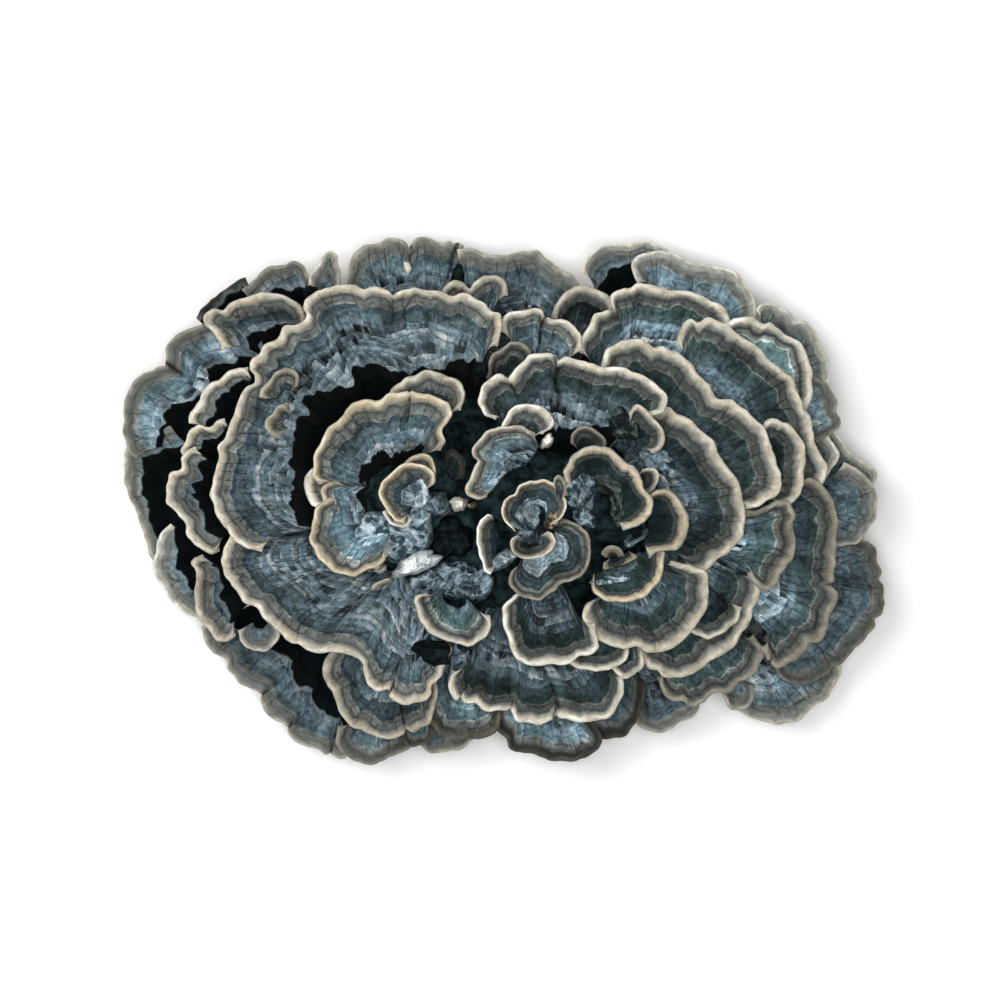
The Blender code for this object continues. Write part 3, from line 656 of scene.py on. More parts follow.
    # Relief: fuzz of 0.7 mm, drawn coarser than the real hairs, with the folds and ring edges.
    fuzz = node(tree, "TexNoise", place, Scale=per_metre(0.667), Detail=3.0)
    relief = node(tree, "Math MULTIPLY_ADD", crease, 1.2, node(tree, "Math MULTIPLY", fuzz, 0.8))
    folded = node(tree, "Math MULTIPLY_ADD", ring_tone, 1.6, steps)
    folded = node(tree, "Math MULTIPLY_ADD", radial, 0.8, folded)
    folded = node(tree, "Math MULTIPLY", folded, far_in)
    relief = node(tree, "Math MULTIPLY_ADD", folded, 0.9, relief)
    lines = node(tree, "Math MULTIPLY", line_tone, past_groove)
    relief = node(tree, "Math MULTIPLY_ADD", lines, 0.8, relief)
    relief = node(tree, "Math MULTIPLY", relief, node(tree, "MapRange", past_edge, 0.4, -0.3))
    normal = node(tree, "Bump", Strength=0.7, Distance=0.5 * MM, Height=relief)
    normal = node(tree, "Bump", invert=True, Strength=0.8, Distance=0.6 * MM, Height=split,
                  Normal=normal)
    tree.links.new(normal, shader.inputs["Normal"])
    shader.inputs["Sheen Weight"].default_value = 0.02
    shader.inputs["Sheen Roughness"].default_value = 0.5
    return material


# The colours of the dry fungus: creams and greys of the lip, taupes of the zone behind it, slates
# of the velvet from pale to nearly black, and the two pale blues of the throats. GROOVE and the
# dark taupe straight behind a lip darken the groove there, partly as its own colour and partly as
# painted shade of the lip over it.
CREAM, WARM_CREAM, CHALK, FAWN = "#dbd9ca", "#cdc7b6", "#c4c6ba", "#b8b5a6"
STONE, LIP_GREY, ASH = "#9d9c95", "#8e918c", "#787d7a"
TAUPE_EDGE, TAUPE, DARK_TAUPE, GROOVE = "#686d6b", "#5e625e", "#494d4a", "#363b3a"
MIST, PALE_SLATE, BLUE_SLATE, SLATE = "#75868f", "#667b86", "#566a75", "#4e6067"
DEEP_SLATE, DARK_SLATE, CHARCOAL, NIGHT = "#3f4f52", "#35444a", "#2b3939", "#1f2d2d"
ICE, FROST = "#b4cfdd", "#94a7b2"

# Weathered outer skin: zones bleached by light to grey, blue-grey and fawn, the margin chalky.
outer_skin = zoned_skin("weathered_outer_skin", "taupe_cap_surface", 4.3, (
    (0.0, CHALK), (0.4, FAWN), (0.8, LIP_GREY), (1.2, ASH), (2.1, ASH),
    (2.4, TAUPE), (3.9, TAUPE), (4.2, TAUPE_EDGE),
    (4.4, SLATE), (5.6, SLATE), (8.0, PALE_SLATE), (9.2, BLUE_SLATE), (10.4, SLATE),
    (11.4, PALE_SLATE), (13.0, BLUE_SLATE), (15.0, PALE_SLATE), (18.0, BLUE_SLATE),
    (22.0, PALE_SLATE), (30.0, BLUE_SLATE),
))

bracket("outer_cap_left_middle", skin=outer_skin, tone=1.2, chalk=0.88,
        rim=[(-84, 20), (-89.5, 17.5), (-94.3, 14.2), (-95.6, 11.5), (-95.4, 8), (-95, 3.5),
             (-93.5, 0), (-92, -4), (-90.5, -7.5), (-89.7, -10), (-89.5, -12.5), (-88.2, -14.6)],
        root=[(-49, 8), (-48, -4)], hollow=(7, 6, 4, 4, 3.5, 2.5, 2))
bracket("outer_cap_left_upper", skin=outer_skin, tone=1.3, chalk=0.7,
        rim=[(-61, 46), (-69, 47.2), (-76.8, 44.7), (-80.4, 43.3), (-83, 41.8), (-85, 38.6),
             (-85.2, 36.1), (-86.6, 34.8), (-90, 33), (-93, 30.4), (-94.7, 27), (-95.4, 22.5),
             (-95, 15), (-94, 12.5), (-92.4, 11.3)],
        root=[(-44, 20), (-48, 11)], hollow=(12, 12, 12, 12, 12, 11, 9, 6),
        cracks=[(-86, 35, 9, 1.1)])
bracket("outer_cap_left_lower", skin=outer_skin, tone=1.1, chalk=1.71,
        rim=[(-84, -5), (-86, -7.5), (-87.5, -12), (-88, -14.6), (-87.5, -18), (-86, -20.3),
             (-84.7, -23.5), (-83, -25.7), (-81, -27), (-78.3, -28.5), (-74, -29)],
        root=[(-49, -6), (-45, -15)], hollow=(2, 5, 6, 6, 5, 3.5))


# Outer ring, top: two wide, lobed brackets between small ones, split here and there where the
# flesh dried. A thin pale one hides under the shelf at the upper left.

bracket("cap_thin_top_left", up=10, skin=outer_skin, lip=1.8, chalk=0.08,
        rim=[(-77.5, 46.8), (-75, 49.3), (-72.5, 51.8), (-69.7, 54), (-66.8, 56), (-64.7, 56.5)],
        root=[(-40, 26)], hollow=(1.6, 2.2, 1.6))
bracket("outer_cap_top_left", skin=outer_skin, lip=2.0, chalk=0.68,
        rim=[(-66, 54), (-64, 55.5), (-62.9, 56.5), (-61, 58.3), (-59, 59.5), (-56, 60),
             (-52.9, 60.8), (-50, 59.7), (-49.3, 57.5), (-47.5, 55.8)],
        root=[(-34, 25)], hollow=(3, 5, 6, 6.5, 6, 3))
bracket("cap_small_top_left", up=11.5, skin=outer_skin, lip=1.9, chalk=1.3,
        rim=[(-49, 54), (-48.3, 57.5), (-47.2, 59.3), (-46, 61.5), (-43.3, 63.3), (-41.8, 62.4),
             (-41, 59), (-41, 54)],
        root=[(-34, 28)])
bracket("outer_cap_top_wide", skin=outer_skin, tone=1.06, chalk=0.85,
        rim=[(-41, 52), (-39.6, 57), (-38.8, 60.5), (-38, 62.5), (-35.8, 64.3), (-33.3, 65),
             (-31.5, 65.6), (-29.3, 66.8), (-27, 66.5), (-25, 65.8), (-23.4, 64.7), (-22.2, 66.3),
             (-20.8, 67), (-18, 66.5), (-15.4, 65.6), (-12.2, 66.1), (-9.7, 65)],
        root=[(-24, 28), (-15, 30)], cracks=[(-12.5, 66, 12, 1.3), (-23.4, 64.7, 5, 0.7)])
bracket("outer_cap_top_middle", skin=outer_skin, tone=0.72, chalk=0.95,
        rim=[(-11.5, 63.6), (-8, 64.3), (-4.7, 63), (-0.8, 62.4), (3.2, 63), (5.7, 63.6), (9, 63.3),
             (11, 61.5), (13.5, 59.3), (15.3, 58), (17.5, 57.2), (19.6, 55.2)],
        root=[(-4, 30), (7, 30)])
bracket("outer_cap_top_right_back", skin=outer_skin, lip=2.0, chalk=1.6,
        rim=[(19.6, 58), (21, 61.5), (23.2, 63.6), (26, 65), (29, 65.2), (32, 65), (34.3, 66.1),
             (36.8, 66.1), (39.6, 65), (41.8, 64)],
        root=[(17, 28), (24, 27)], hollow=(8, 8, 6, 3, 2.5))
bracket("outer_cap_top_right_front", skin=outer_skin, tone=1.63, chalk=1.6,
        rim=[(33.4, 55.2), (32.3, 58), (32.6, 60.4), (34.6, 62.4), (37, 63.1), (40.3, 63.3),
             (44, 62.4), (46.4, 60.6), (49, 60.2), (52.5, 59.7), (55.3, 59.5), (58.2, 58.2),
             (60, 56.5), (61.4, 54), (63.2, 51), (63.7, 48.2), (63.4, 46.8)],
        root=[(28, 26), (36, 23)])


# Outer ring, right: rounded brackets in the light, scaly with lobes, bluer where algae grow.

bracket("outer_cap_right_upper", skin=outer_skin, tone=1.1, chalk=1.5,
        rim=[(63.7, 48.2), (64.3, 49.3), (66.4, 50.2), (68.5, 50), (70.7, 49), (72.8, 47.2),
             (73.5, 46), (75.3, 46), (77.5, 44), (79.3, 41), (80.7, 37.5), (82, 35.4), (82, 33),
             (81.4, 30.4), (79, 27)],
        root=[(40, 23), (47, 16)])
bracket("outer_cap_right_tip", skin=outer_skin, lip=2.0, tone=1.1, chalk=1.4,
        rim=[(79, 20), (82.8, 18.6), (83.9, 17.5), (85.2, 16.6), (86.4, 14.7), (88.2, 12.2),
             (90.3, 10.8), (92.8, 9.3), (94.3, 7.5), (93, 4), (89, 1)],
        root=[(50, 10)])
bracket("cap_outer_right_notch", up=12.5, flare=0.3, skin=outer_skin, lip=2.0, tone=1.92,
        chalk=0.66,
        rim=[(78, 32), (81.4, 30.4), (82.8, 28.2), (84, 25.7), (83.5, 23.4), (84.8, 21), (84.2, 19),
             (82.8, 17.5), (79, 15)],
        root=[(50, 14)])
bracket("outer_cap_right_pale", skin=outer_skin, chalk=1.66,
        rim=[(76.8, 21), (78.5, 21), (80.7, 19.3), (82, 17), (83.2, 14.7), (84.6, 12.5), (84, 10),
             (82, 8), (80.7, 5.7)],
        root=[(50, 7)])
bracket("outer_cap_bottom_right", skin=outer_skin, tone=1.4, chalk=1.05,
        rim=[(54, -43), (56, -48.5), (59.3, -52), (62.8, -54.6), (66.4, -55), (69.3, -56),
             (72, -55.3), (75, -54.6), (77.5, -52), (80.3, -50.3), (82.8, -47.5), (84.3, -45),
             (85.3, -41.8), (82, -38)],
        root=[(40, -22), (45, -18)])
bracket("outer_cap_right_lower", skin=outer_skin, tone=0.8, chalk=0.42,
        rim=[(66, -38.5), (68.2, -41.4), (69, -43.2), (70.7, -45), (74.3, -45.7), (77.5, -45),
             (80, -44.3), (82, -42.8), (82.8, -41), (85.3, -40.7), (87, -39), (89.3, -36.4),
             (90.3, -35.7), (92, -33.5), (94, -30.7), (93.7, -29.3), (95, -28.2), (95.7, -25.3),
             (96, -22.8), (95.7, -20.7), (94.6, -19.3), (95.7, -17.5), (94.3, -14.3), (94, -11.4),
             (92.5, -10), (90.3, -9.3), (85, -7.5), (80, -6)],
        root=[(46, -17), (51, -6)])
bracket("outer_cap_right_middle", skin=outer_skin,
        rim=[(85.3, 10), (87.5, 9.3), (90.3, 7.5), (92, 5.7), (93.4, 3.6), (93.7, -1.4),
             (93.5, -4.3), (92, -6.4), (90, -9.3), (88.5, -10.3), (86, -11), (82, -11)],
        root=[(51, 2)])
bracket("lobe_outer_bottom_right", on="outer_cap_bottom_right", up=2.5, skin=outer_skin, lip=2.0,
        chalk=0.85,
        rim=[(54, -45), (55, -48), (56, -50.3), (57, -51.6), (59.6, -52), (61.8, -51.2),
             (63.2, -49), (63, -46)],
        root=[(56, -40)])


# Outer ring, bottom: thin brackets that show under the fans, the lower left one in three lobes.

bracket("outer_cap_bottom_near_right", skin=outer_skin, lip=2.0, tone=0.58, chalk=0.85,
        rim=[(29, -49), (31, -53.5), (33.7, -56), (36, -57), (39.6, -57.8), (42, -56.8),
             (45, -55.3), (47.8, -54), (49.5, -51), (50, -46)],
        root=[(31, -27)])
bracket("outer_cap_bottom_right_of_centre", skin=outer_skin, tone=0.8, chalk=0.15,
        rim=[(18.7, -57.5), (21, -58.7), (23.5, -59.4), (27, -59.3), (30, -59), (32.5, -57),
             (34.6, -52.5), (35.3, -50), (36, -45)],
        root=[(20, -29)])
bracket("outer_cap_bottom_centre", skin=outer_skin, tone=1.8, chalk=0.17,
        rim=[(-3, -53), (-1.5, -57.5), (0.7, -59.3), (2, -61.8), (5, -63), (7.5, -63.4),
             (10, -64.3), (12.5, -65.3), (15.3, -65), (19, -64.6), (21.8, -63.2), (24.3, -61),
             (24.5, -58), (22, -54)],
        root=[(7, -31)])
bracket("outer_cap_bottom_left", skin=outer_skin, tone=0.6, chalk=0.85,
        rim=[(-76, -31), (-74.7, -35.7), (-72.5, -37.8), (-70, -39.6), (-69, -42.5), (-66.8, -45),
             (-64, -46.4), (-61.8, -48.2), (-61.5, -50), (-59.7, -52.8), (-58, -54.6), (-55.4, -56),
             (-54, -58.2), (-52.2, -60), (-49, -61.4), (-47, -61.8), (-45, -63.5), (-41.8, -64.4),
             (-39.7, -64.3)],
        root=[(-44, -15), (-37, -22)], hollow=(6, 9, 11, 11.5, 11, 11, 9.5, 8),
        cracks=[(-61.7, -49, 7, 0.8), (-54.6, -57, 6, 0.8), (-43.6, -64, 12, 0.9)])
bracket("outer_cap_bottom_left_of_centre", skin=outer_skin, chalk=0.5,
        rim=[(-41.5, -56), (-42.2, -59.6), (-41.5, -61.4), (-39.3, -63.5), (-36.5, -65.3),
             (-33.6, -66.2), (-30.8, -65.3), (-28.6, -64.3), (-25.8, -63.2), (-23.8, -61.8),
             (-22, -58), (-21, -52)],
        root=[(-24, -29)])
bracket("lobe_bottom_left", up=11.5, skin=outer_skin, lip=1.6, chalk=0.27,
        rim=[(-26, -57), (-25, -60), (-23.8, -61.2), (-21, -61.2), (-19.5, -60.6), (-17, -57)],
        root=[(-17, -29)])
bracket("lobe_bottom", up=10.5, skin=outer_skin, lip=1.6, chalk=0.75,
        rim=[(-21, -58), (-19.7, -62), (-18.6, -63), (-15, -62.8), (-12.2, -62.3), (-9.7, -61.6),
             (-8, -60), (-4, -57), (-1, -52)],
        root=[(-9, -30)])
bracket("curl_outer_bottom_left", on="outer_cap_bottom_left", up=4.0, skin=outer_skin, lip=1.9,
        chalk=1.4,
        rim=[(-66.5, -32), (-66, -34), (-64.7, -36), (-62.5, -37.3), (-59.7, -37.5), (-57.2, -36),
             (-55.8, -34), (-55.6, -32)],
        root=[(-61, -29)])


# Second ring, left: narrow shelves under the great fan, their cream rims almost white, with the
# deep gaps of a rosette that dried and drew apart.

slate_skin = zoned_skin("slate_velvet_skin", "slate_cap_surface", 4.8, (
    (0.0, CREAM), (0.4, CREAM), (0.8, WARM_CREAM), (1.1, FAWN), (1.7, STONE), (2.1, LIP_GREY),
    (2.3, TAUPE), (2.6, DARK_TAUPE), (2.9, TAUPE), (4.3, TAUPE), (4.6, TAUPE_EDGE),
    (4.8, TAUPE_EDGE), (4.95, DARK_SLATE), (8.0, SLATE), (9.0, BLUE_SLATE), (10.2, BLUE_SLATE),
    (10.7, MIST), (11.5, MIST), (11.8, SLATE), (14.0, PALE_SLATE), (14.4, SLATE),
    (16.0, PALE_SLATE), (18.0, BLUE_SLATE), (21.0, PALE_SLATE), (25.0, BLUE_SLATE),
    (31.0, PALE_SLATE),
), folds=0.8)

bracket("shelf_top_left", skin=slate_skin, tone=0.65, chalk=0.88,
        rim=[(-49, 45), (-50.3, 48.5), (-55.4, 52.2), (-59.7, 53), (-64, 51.5), (-68.6, 50.4),
             (-70.4, 48.4), (-72.5, 48.6), (-75, 46.8), (-75.2, 45), (-73.6, 43.3), (-71.6, 40.5),
             (-70.7, 38.3)],
        root=[(-36, 22)], hollow=(4, 7, 9.5, 10, 9, 8, 7))
bracket("shelf_left_upper", skin=slate_skin, chalk=1.2,
        rim=[(-64, 34), (-65.8, 34), (-67.5, 33.6), (-69.7, 32.5), (-71.8, 31), (-75, 28.3),
             (-77.2, 25), (-79, 21.5), (-78.8, 20)],
        root=[(-46, 14)], hollow=(3, 3.6, 4.2, 4.6, 5, 4.5))
bracket("shelf_left_small", skin=slate_skin, lip=2.0,
        rim=[(-69.7, 21), (-71.8, 20.8), (-73.6, 19), (-76, 19.5), (-78.3, 18), (-80, 15.4),
             (-80.8, 13.3), (-80, 11)],
        root=[(-48, 9)], hollow=(2, 3.5, 4.5, 4.5, 3))
bracket("shelf_left_middle", skin=slate_skin,
        rim=[(-77, 14), (-79, 13), (-80.4, 11.5), (-80.6, 8.3), (-83, 7.5), (-84, 5), (-84.7, 3),
             (-84, -0.3), (-82.4, -1.4), (-80.8, -3.2), (-79.3, -5.3), (-79.3, -7.8), (-77.5, -10),
             (-75, -12), (-73, -13), (-71, -12)],
        root=[(-48, 3), (-47, -3)], hollow=(4, 4.6, 6.5, 7, 6, 5.5, 5, 4.5))
bracket("shelf_left_lower", skin=slate_skin, chalk=0.75,
        rim=[(-75, -13), (-77.2, -14), (-78, -15.2), (-76.9, -17), (-77.5, -22.5), (-76.8, -26.8),
             (-75.4, -30.3), (-73.2, -32.5), (-71.8, -34.3), (-69.5, -34.5), (-67, -33)],
        root=[(-46, -10), (-43, -14)], hollow=(3, 5, 6.5, 7, 7, 6, 4.5))


# Second ring, top: brackets that look out between the great fan and the inner ones, dark and
# closely set.

charcoal_skin = zoned_skin("charcoal_velvet_skin", "charcoal_cap_surface", 4.3, (
    (0.0, CREAM), (0.4, CREAM), (0.8, WARM_CREAM), (1.1, FAWN), (1.4, STONE), (1.6, LIP_GREY),
    (2.0, ASH), (2.25, TAUPE), (2.5, GROOVE), (3.0, DARK_TAUPE), (3.9, DARK_TAUPE),
    (4.15, TAUPE), (4.3, TAUPE), (4.45, CHARCOAL), (6.2, CHARCOAL), (7.0, DARK_SLATE),
    (8.0, DEEP_SLATE), (8.6, SLATE), (10.0, BLUE_SLATE), (10.6, PALE_SLATE), (12.2, MIST),
    (13.0, BLUE_SLATE), (16.5, BLUE_SLATE), (19.0, SLATE), (24.0, BLUE_SLATE),
    (30.0, DEEP_SLATE),
), pale="#7f95a1", step=0.5, folds=0.5)

bracket("shelf_top_small", skin=slate_skin, lip=2.0, chalk=0.8,
        rim=[(-15, 50), (-15, 53), (-14, 54.7), (-12.2, 55.8), (-10.4, 55.6), (-8.3, 53.8),
             (-7.5, 55), (-5.8, 56.6), (-3.6, 57.4), (-1, 57), (0.8, 55), (1, 52)],
        root=[(-7, 28)])
bracket("shelf_top_middle", skin=charcoal_skin, lip=2.0, tone=0.26, chalk=0.83,
        rim=[(12.2, 46), (12.8, 48.5), (14.4, 51.5), (16.4, 53), (18.2, 54.1), (20, 54.3),
             (21.7, 54), (24, 53), (25.7, 52.5), (27.5, 50.5), (28, 47)],
        root=[(13, 26)])
bracket("shelf_top_right", skin=charcoal_skin, lip=2.6, tone=1.84, chalk=1.08,
        rim=[(19, 37.5), (19.3, 40.8), (20.3, 42.5), (21.7, 45.4), (22.8, 47), (25.3, 48.2),
             (26.4, 49), (26.8, 51.5), (29, 53.3), (31.4, 54), (33.2, 55), (36, 54.5), (39.6, 54),
             (43.2, 53.3), (47, 53), (49.6, 51.6), (52.5, 50.4), (54.6, 49.3), (56, 47.2),
             (56.8, 45), (56.6, 41)],
        root=[(22, 23), (32, 20)], cracks=[(26.2, 49, 10, 0.9)])


# Second ring, bottom: a wide fan of four lobes in the middle, folded brackets beside it.

bracket("shelf_bottom_right", skin=charcoal_skin, tone=2.4, chalk=0.45,
        rim=[(38.5, -44), (41, -48.5), (42.8, -50), (45, -50), (46.8, -51), (50, -50),
             (53.2, -47.8), (56.4, -47.5), (59.3, -45.3), (61.8, -43.5), (64.3, -41.4), (65.4, -39),
             (65.2, -36), (63, -33)],
        root=[(36, -20)])
bracket("shelf_bottom_left_of_centre", skin=slate_skin, tone=1.7, chalk=0.18,
        rim=[(-21, -44), (-20.5, -50), (-19.2, -54), (-16.8, -57.5), (-14.3, -59), (-11.5, -59.8),
             (-8, -59.4), (-4.3, -59), (-1.8, -57.8), (-0.3, -54), (0, -49)],
        root=[(-7, -29)])
bracket("shelf_bottom_left", skin=slate_skin, tone=0.72, chalk=0.7,
        rim=[(-41, -33), (-43.3, -37.6), (-44.5, -39.3), (-45, -42), (-44.3, -45.3), (-42.5, -48.2),
             (-41.5, -51), (-40, -54.3), (-38, -56), (-35.4, -57), (-33, -58.5), (-29.7, -59.3),
             (-26.8, -59), (-24.7, -57.8), (-24, -56.9), (-22.5, -57.5), (-20.8, -56.4),
             (-18.3, -55), (-17.2, -52), (-16.5, -48.5), (-17, -44)],
        root=[(-28, -21), (-19, -26)], cracks=[(-24, -56.6, 6, 0.8)])
bracket("fan_bottom_centre", skin=charcoal_skin, lip=2.5, tone=0.72, chalk=1.2,
        rim=[(-13, -42), (-13.5, -45.3), (-13, -47.5), (-11.5, -49.4), (-10.4, -48.6),
             (-9.7, -49.6), (-6.8, -50), (-5, -51.6), (-0.8, -52), (1.8, -52.3), (3.2, -54.3),
             (5.7, -55), (10, -55.3), (12.8, -54.3), (15, -54), (17.5, -54.8), (21.4, -55),
             (25.3, -54), (27.5, -52.5), (29, -50), (30.2, -47.8), (30.4, -45), (30.5, -40)],
        root=[(-4, -26), (13, -26)],
        cracks=[(13, -53.8, 13, 1.2), (-10.8, -48.6, 5, 0.6), (1.6, -52.3, 4, 0.5)])


# Second ring, right: broad shingled fans, dark and matt as velvet, each margin a thick roll.

bracket("shelf_right_upper", skin=charcoal_skin, lip=2.5, tone=8.78, chalk=1.25,
        rim=[(55, 43.5), (56.8, 45.4), (59.6, 46.8), (62.5, 46.6), (64.6, 45), (65.3, 44.5),
             (66.4, 45), (68.5, 44.3), (71, 42.5), (74, 40.4), (75.3, 38.6), (76.4, 36.5),
             (77.5, 34), (77.5, 30.4), (77.8, 28), (77.3, 25.8), (76.4, 24), (74, 21)],
        root=[(39, 20), (45, 13)])
bracket("fan_right_upper", skin=charcoal_skin, lip=3.0, tone=1.26,
        rim=[(43, 39.5), (44.2, 43), (45, 45), (46.8, 46.3), (48.2, 45.4), (50.7, 46), (53.5, 45.7),
             (55.7, 44.3), (58.5, 42.5), (60.3, 41), (62.8, 39.7), (64.6, 37.5), (67, 35),
             (69.6, 33.2), (71.8, 31), (73.2, 28.6), (74.8, 26), (75.3, 23.6), (76.8, 21.5),
             (77.5, 18.5), (78.2, 15.4), (79.6, 11.8), (81, 9), (80.7, 6.5), (79, 3)],
        root=[(34, 19), (46, 4)])
bracket("fan_right_lower", skin=charcoal_skin, lip=2.9, tone=1.57, chalk=0.46,
        rim=[(73, 5), (75, 6.2), (76.4, 6.6), (78.2, 6), (80.3, 4), (82, 1.5), (83, -1.4),
             (83.7, -5.3), (83.2, -7.8), (83.5, -11.8), (83.2, -15.3), (82.8, -19.8), (82.2, -20.8),
             (83.5, -22), (83.5, -25.7), (82, -28.5), (81.4, -31), (80, -33.5), (78.5, -34.8),
             (76.8, -35.2), (76, -37), (74, -38.5), (71.4, -40), (69, -41.4), (66.5, -39.6),
             (65, -36)],
        root=[(46, -2), (44, -15)], cracks=[(82.3, -20.6, 4, 0.7), (66.5, -39.6, 6, 0.7)])
bracket("shelf_right_small", skin=charcoal_skin, lip=2.6,
        rim=[(63, 17.5), (65, 19.8), (66.2, 20.9), (68, 21), (70, 20.2), (72.5, 18.3), (74.3, 15.8),
             (75.3, 13.6), (75.5, 10.8), (74.9, 8), (75, 4.7), (74, 2.2), (72.6, 0.2), (70.5, -0.8),
             (68, -1)],
        root=[(44, 3)])
bracket("fan_lower_right", skin=charcoal_skin, lip=2.9, tone=1.2, chalk=0.9,
        rim=[(33.5, -36), (35.3, -39.6), (36.8, -41.4), (38.5, -41.8), (40.3, -43.5), (44.3, -43.4),
             (47.5, -42.5), (50, -41), (53.2, -39), (56, -37), (58.6, -35), (60, -32.5),
             (61.4, -30), (62.5, -26.8), (64, -24), (64.6, -21.4), (64, -18)],
        root=[(29, -17), (38, -10)])
bracket("cap_inset_lower_right", on="fan_lower_right", up=1.6, skin=charcoal_skin, lip=2.0,
        tone=0.75,
        rim=[(44.5, -30), (46.8, -32.5), (49, -33.5), (51.4, -34), (54, -33.2), (56.8, -31),
             (59, -29), (59.6, -26)],
        root=[(44, -16)])
bracket("shelf_right_middle", skin=charcoal_skin, lip=2.8, tone=3.54, chalk=0.52,
        rim=[(60.3, -1.8), (65, -0.8), (68.5, 0.6), (70.5, 0.6), (71.8, -0.3), (72.5, -2.8),
             (72.2, -4.6), (72.5, -6.8), (73, -9.3), (72.8, -11.8), (71.4, -15.3), (69.3, -18.5),
             (67.5, -21), (65.3, -22), (63.5, -21), (61, -17.5)],
        root=[(42, -7)])


# Inner brackets, right and bottom: they ring the crown, one tight over the other.

bracket("inner_fan_right", skin=charcoal_skin, lip=3.2, tone=1.2,
        rim=[(24, 33), (24.6, 36), (25.3, 38.2), (27.8, 39.7), (30.3, 40.6), (34, 40.8), (36, 39.7),
             (37.6, 38.4), (39.6, 39), (42, 38.2), (44.6, 36.5), (47, 34.7), (48, 32.5), (49.6, 31),
             (51.4, 30), (52.6, 27.8), (53.5, 26.3), (55, 26), (57.5, 25.4), (60, 23.6), (62, 21.5),
             (64.3, 19.3), (66, 17.3), (66.4, 14.7), (67.5, 11.8), (68.5, 9.3), (69, 6.5),
             (69.2, 4.3), (67.8, 1.8), (65.3, 0.2), (63.5, -0.9), (60.3, -1.8)],
        root=[(26, 16), (40, 0)])
bracket("inner_cap_right", skin=charcoal_skin, lip=3.1, tone=0.78, chalk=0.9,
        rim=[(34.5, 24), (37.5, 23.6), (41, 24), (43.2, 22.2), (46, 20.8), (49, 18.3), (51.4, 16),
             (53.2, 13.6), (54.4, 11), (55.5, 8.8), (56.8, 7.2), (58.2, 4.7), (59, 1.5),
             (59.8, -1.7), (59.6, -5.7), (59, -9), (56.8, -11.4), (53.5, -13.5), (51.4, -15.7),
             (50, -16.8), (46, -17)],
        root=[(30, 11), (35, -7)])
bracket("inner_cap_top", skin=slate_skin, lip=2.0, tone=1.49, chalk=1.2,
        rim=[(-1, 43), (0, 46.5), (1.4, 47.5), (4.6, 48.2), (9.3, 48.6), (11.4, 47.4), (12, 45.9),
             (14.6, 45.8), (16.8, 44.7), (18.2, 43.3), (19.3, 41.8), (20, 38)],
        root=[(7, 22)], cracks=[(11.2, 47.4, 9, 1.4)])
bracket("cap_tuck_bottom", on="fan_bottom_centre", up=1.5, skin=charcoal_skin, lip=1.8,
        rim=[(25.5, -39), (27, -41.8), (28.2, -43), (29.6, -43.7), (32, -43.2), (34.3, -41.8),
             (35.3, -40), (35, -35)],
        root=[(26, -28)])
bracket("inner_cap_lower_right", skin=charcoal_skin, lip=2.9, tone=1.39, chalk=0.92,
        rim=[(23, -23.5), (21, -25.3), (19.8, -27.8), (21, -31), (22.5, -33.2), (25, -35),
             (27.5, -36.2), (30, -36.4), (34, -35.8), (35.3, -36.8), (37.5, -37.5), (40.3, -37),
             (43.2, -35.3), (46, -32.8), (48.5, -30), (50.7, -26), (51.2, -23.2), (50.9, -20),
             (50, -17.2), (47.5, -15.9), (44.6, -15), (41.4, -14.3)],
        root=[(26, -18), (34, -12)])
bracket("cap_under_bottom_fan", on="fan_bottom_centre", skin=charcoal_skin, lip=1.9, chalk=1.3,
        rim=[(14.5, -37), (16.2, -40), (17.8, -41.2), (20, -41.6), (24.6, -42), (27.8, -41.4),
             (30, -40), (31.3, -38), (31, -34)],
        root=[(20, -26)])
bracket("inner_fan_bottom", skin=charcoal_skin, lip=2.2, tone=0.55, chalk=1.3,
        rim=[(4, -22), (1.6, -24), (0, -26.3), (0, -30), (1, -33.2), (2, -36.8), (3.5, -39),
             (6, -40.5), (9, -40.7), (12.5, -40.3), (16, -39.8), (19, -38.2), (21, -38.2),
             (22.8, -37.3), (23.7, -36), (23.4, -34), (22.5, -30)],
        root=[(8, -18), (14, -19)])


# Left fans: the great fan sweeps round the whole left side, folded twice, and stands clear over
# the shelves. The one below it joins it along a pale seam. Old wrinkled flesh shows inside.

bracket("fan_lower_left", skin=slate_skin, wrinkle=0.3, tone=0.82,
        rim=[(-62, 0), (-66.5, -5), (-68.5, -9), (-70, -11.8), (-70.4, -14.6), (-69.7, -17),
             (-68.2, -20), (-66.5, -22.5), (-65, -25), (-61.8, -26.2), (-60.4, -28.5), (-58, -30.7),
             (-55.8, -32.5), (-53.3, -34.6), (-50, -36.2), (-46, -37.5), (-43, -37.3), (-40, -37.8),
             (-37.5, -38.5), (-35.3, -40), (-35.2, -42), (-34, -45), (-31.5, -46.8), (-29.4, -47),
             (-28.6, -48.2), (-26.5, -50), (-23.3, -50.3), (-20.4, -49.6), (-18.2, -47.5),
             (-18, -45.7), (-16.5, -44.6), (-15.2, -42.5), (-14, -38)],
        root=[(-42, -7), (-35, -13), (-25, -18), (-15, -21)], cracks=[(-29.4, -47.2, 9, 0.9)])
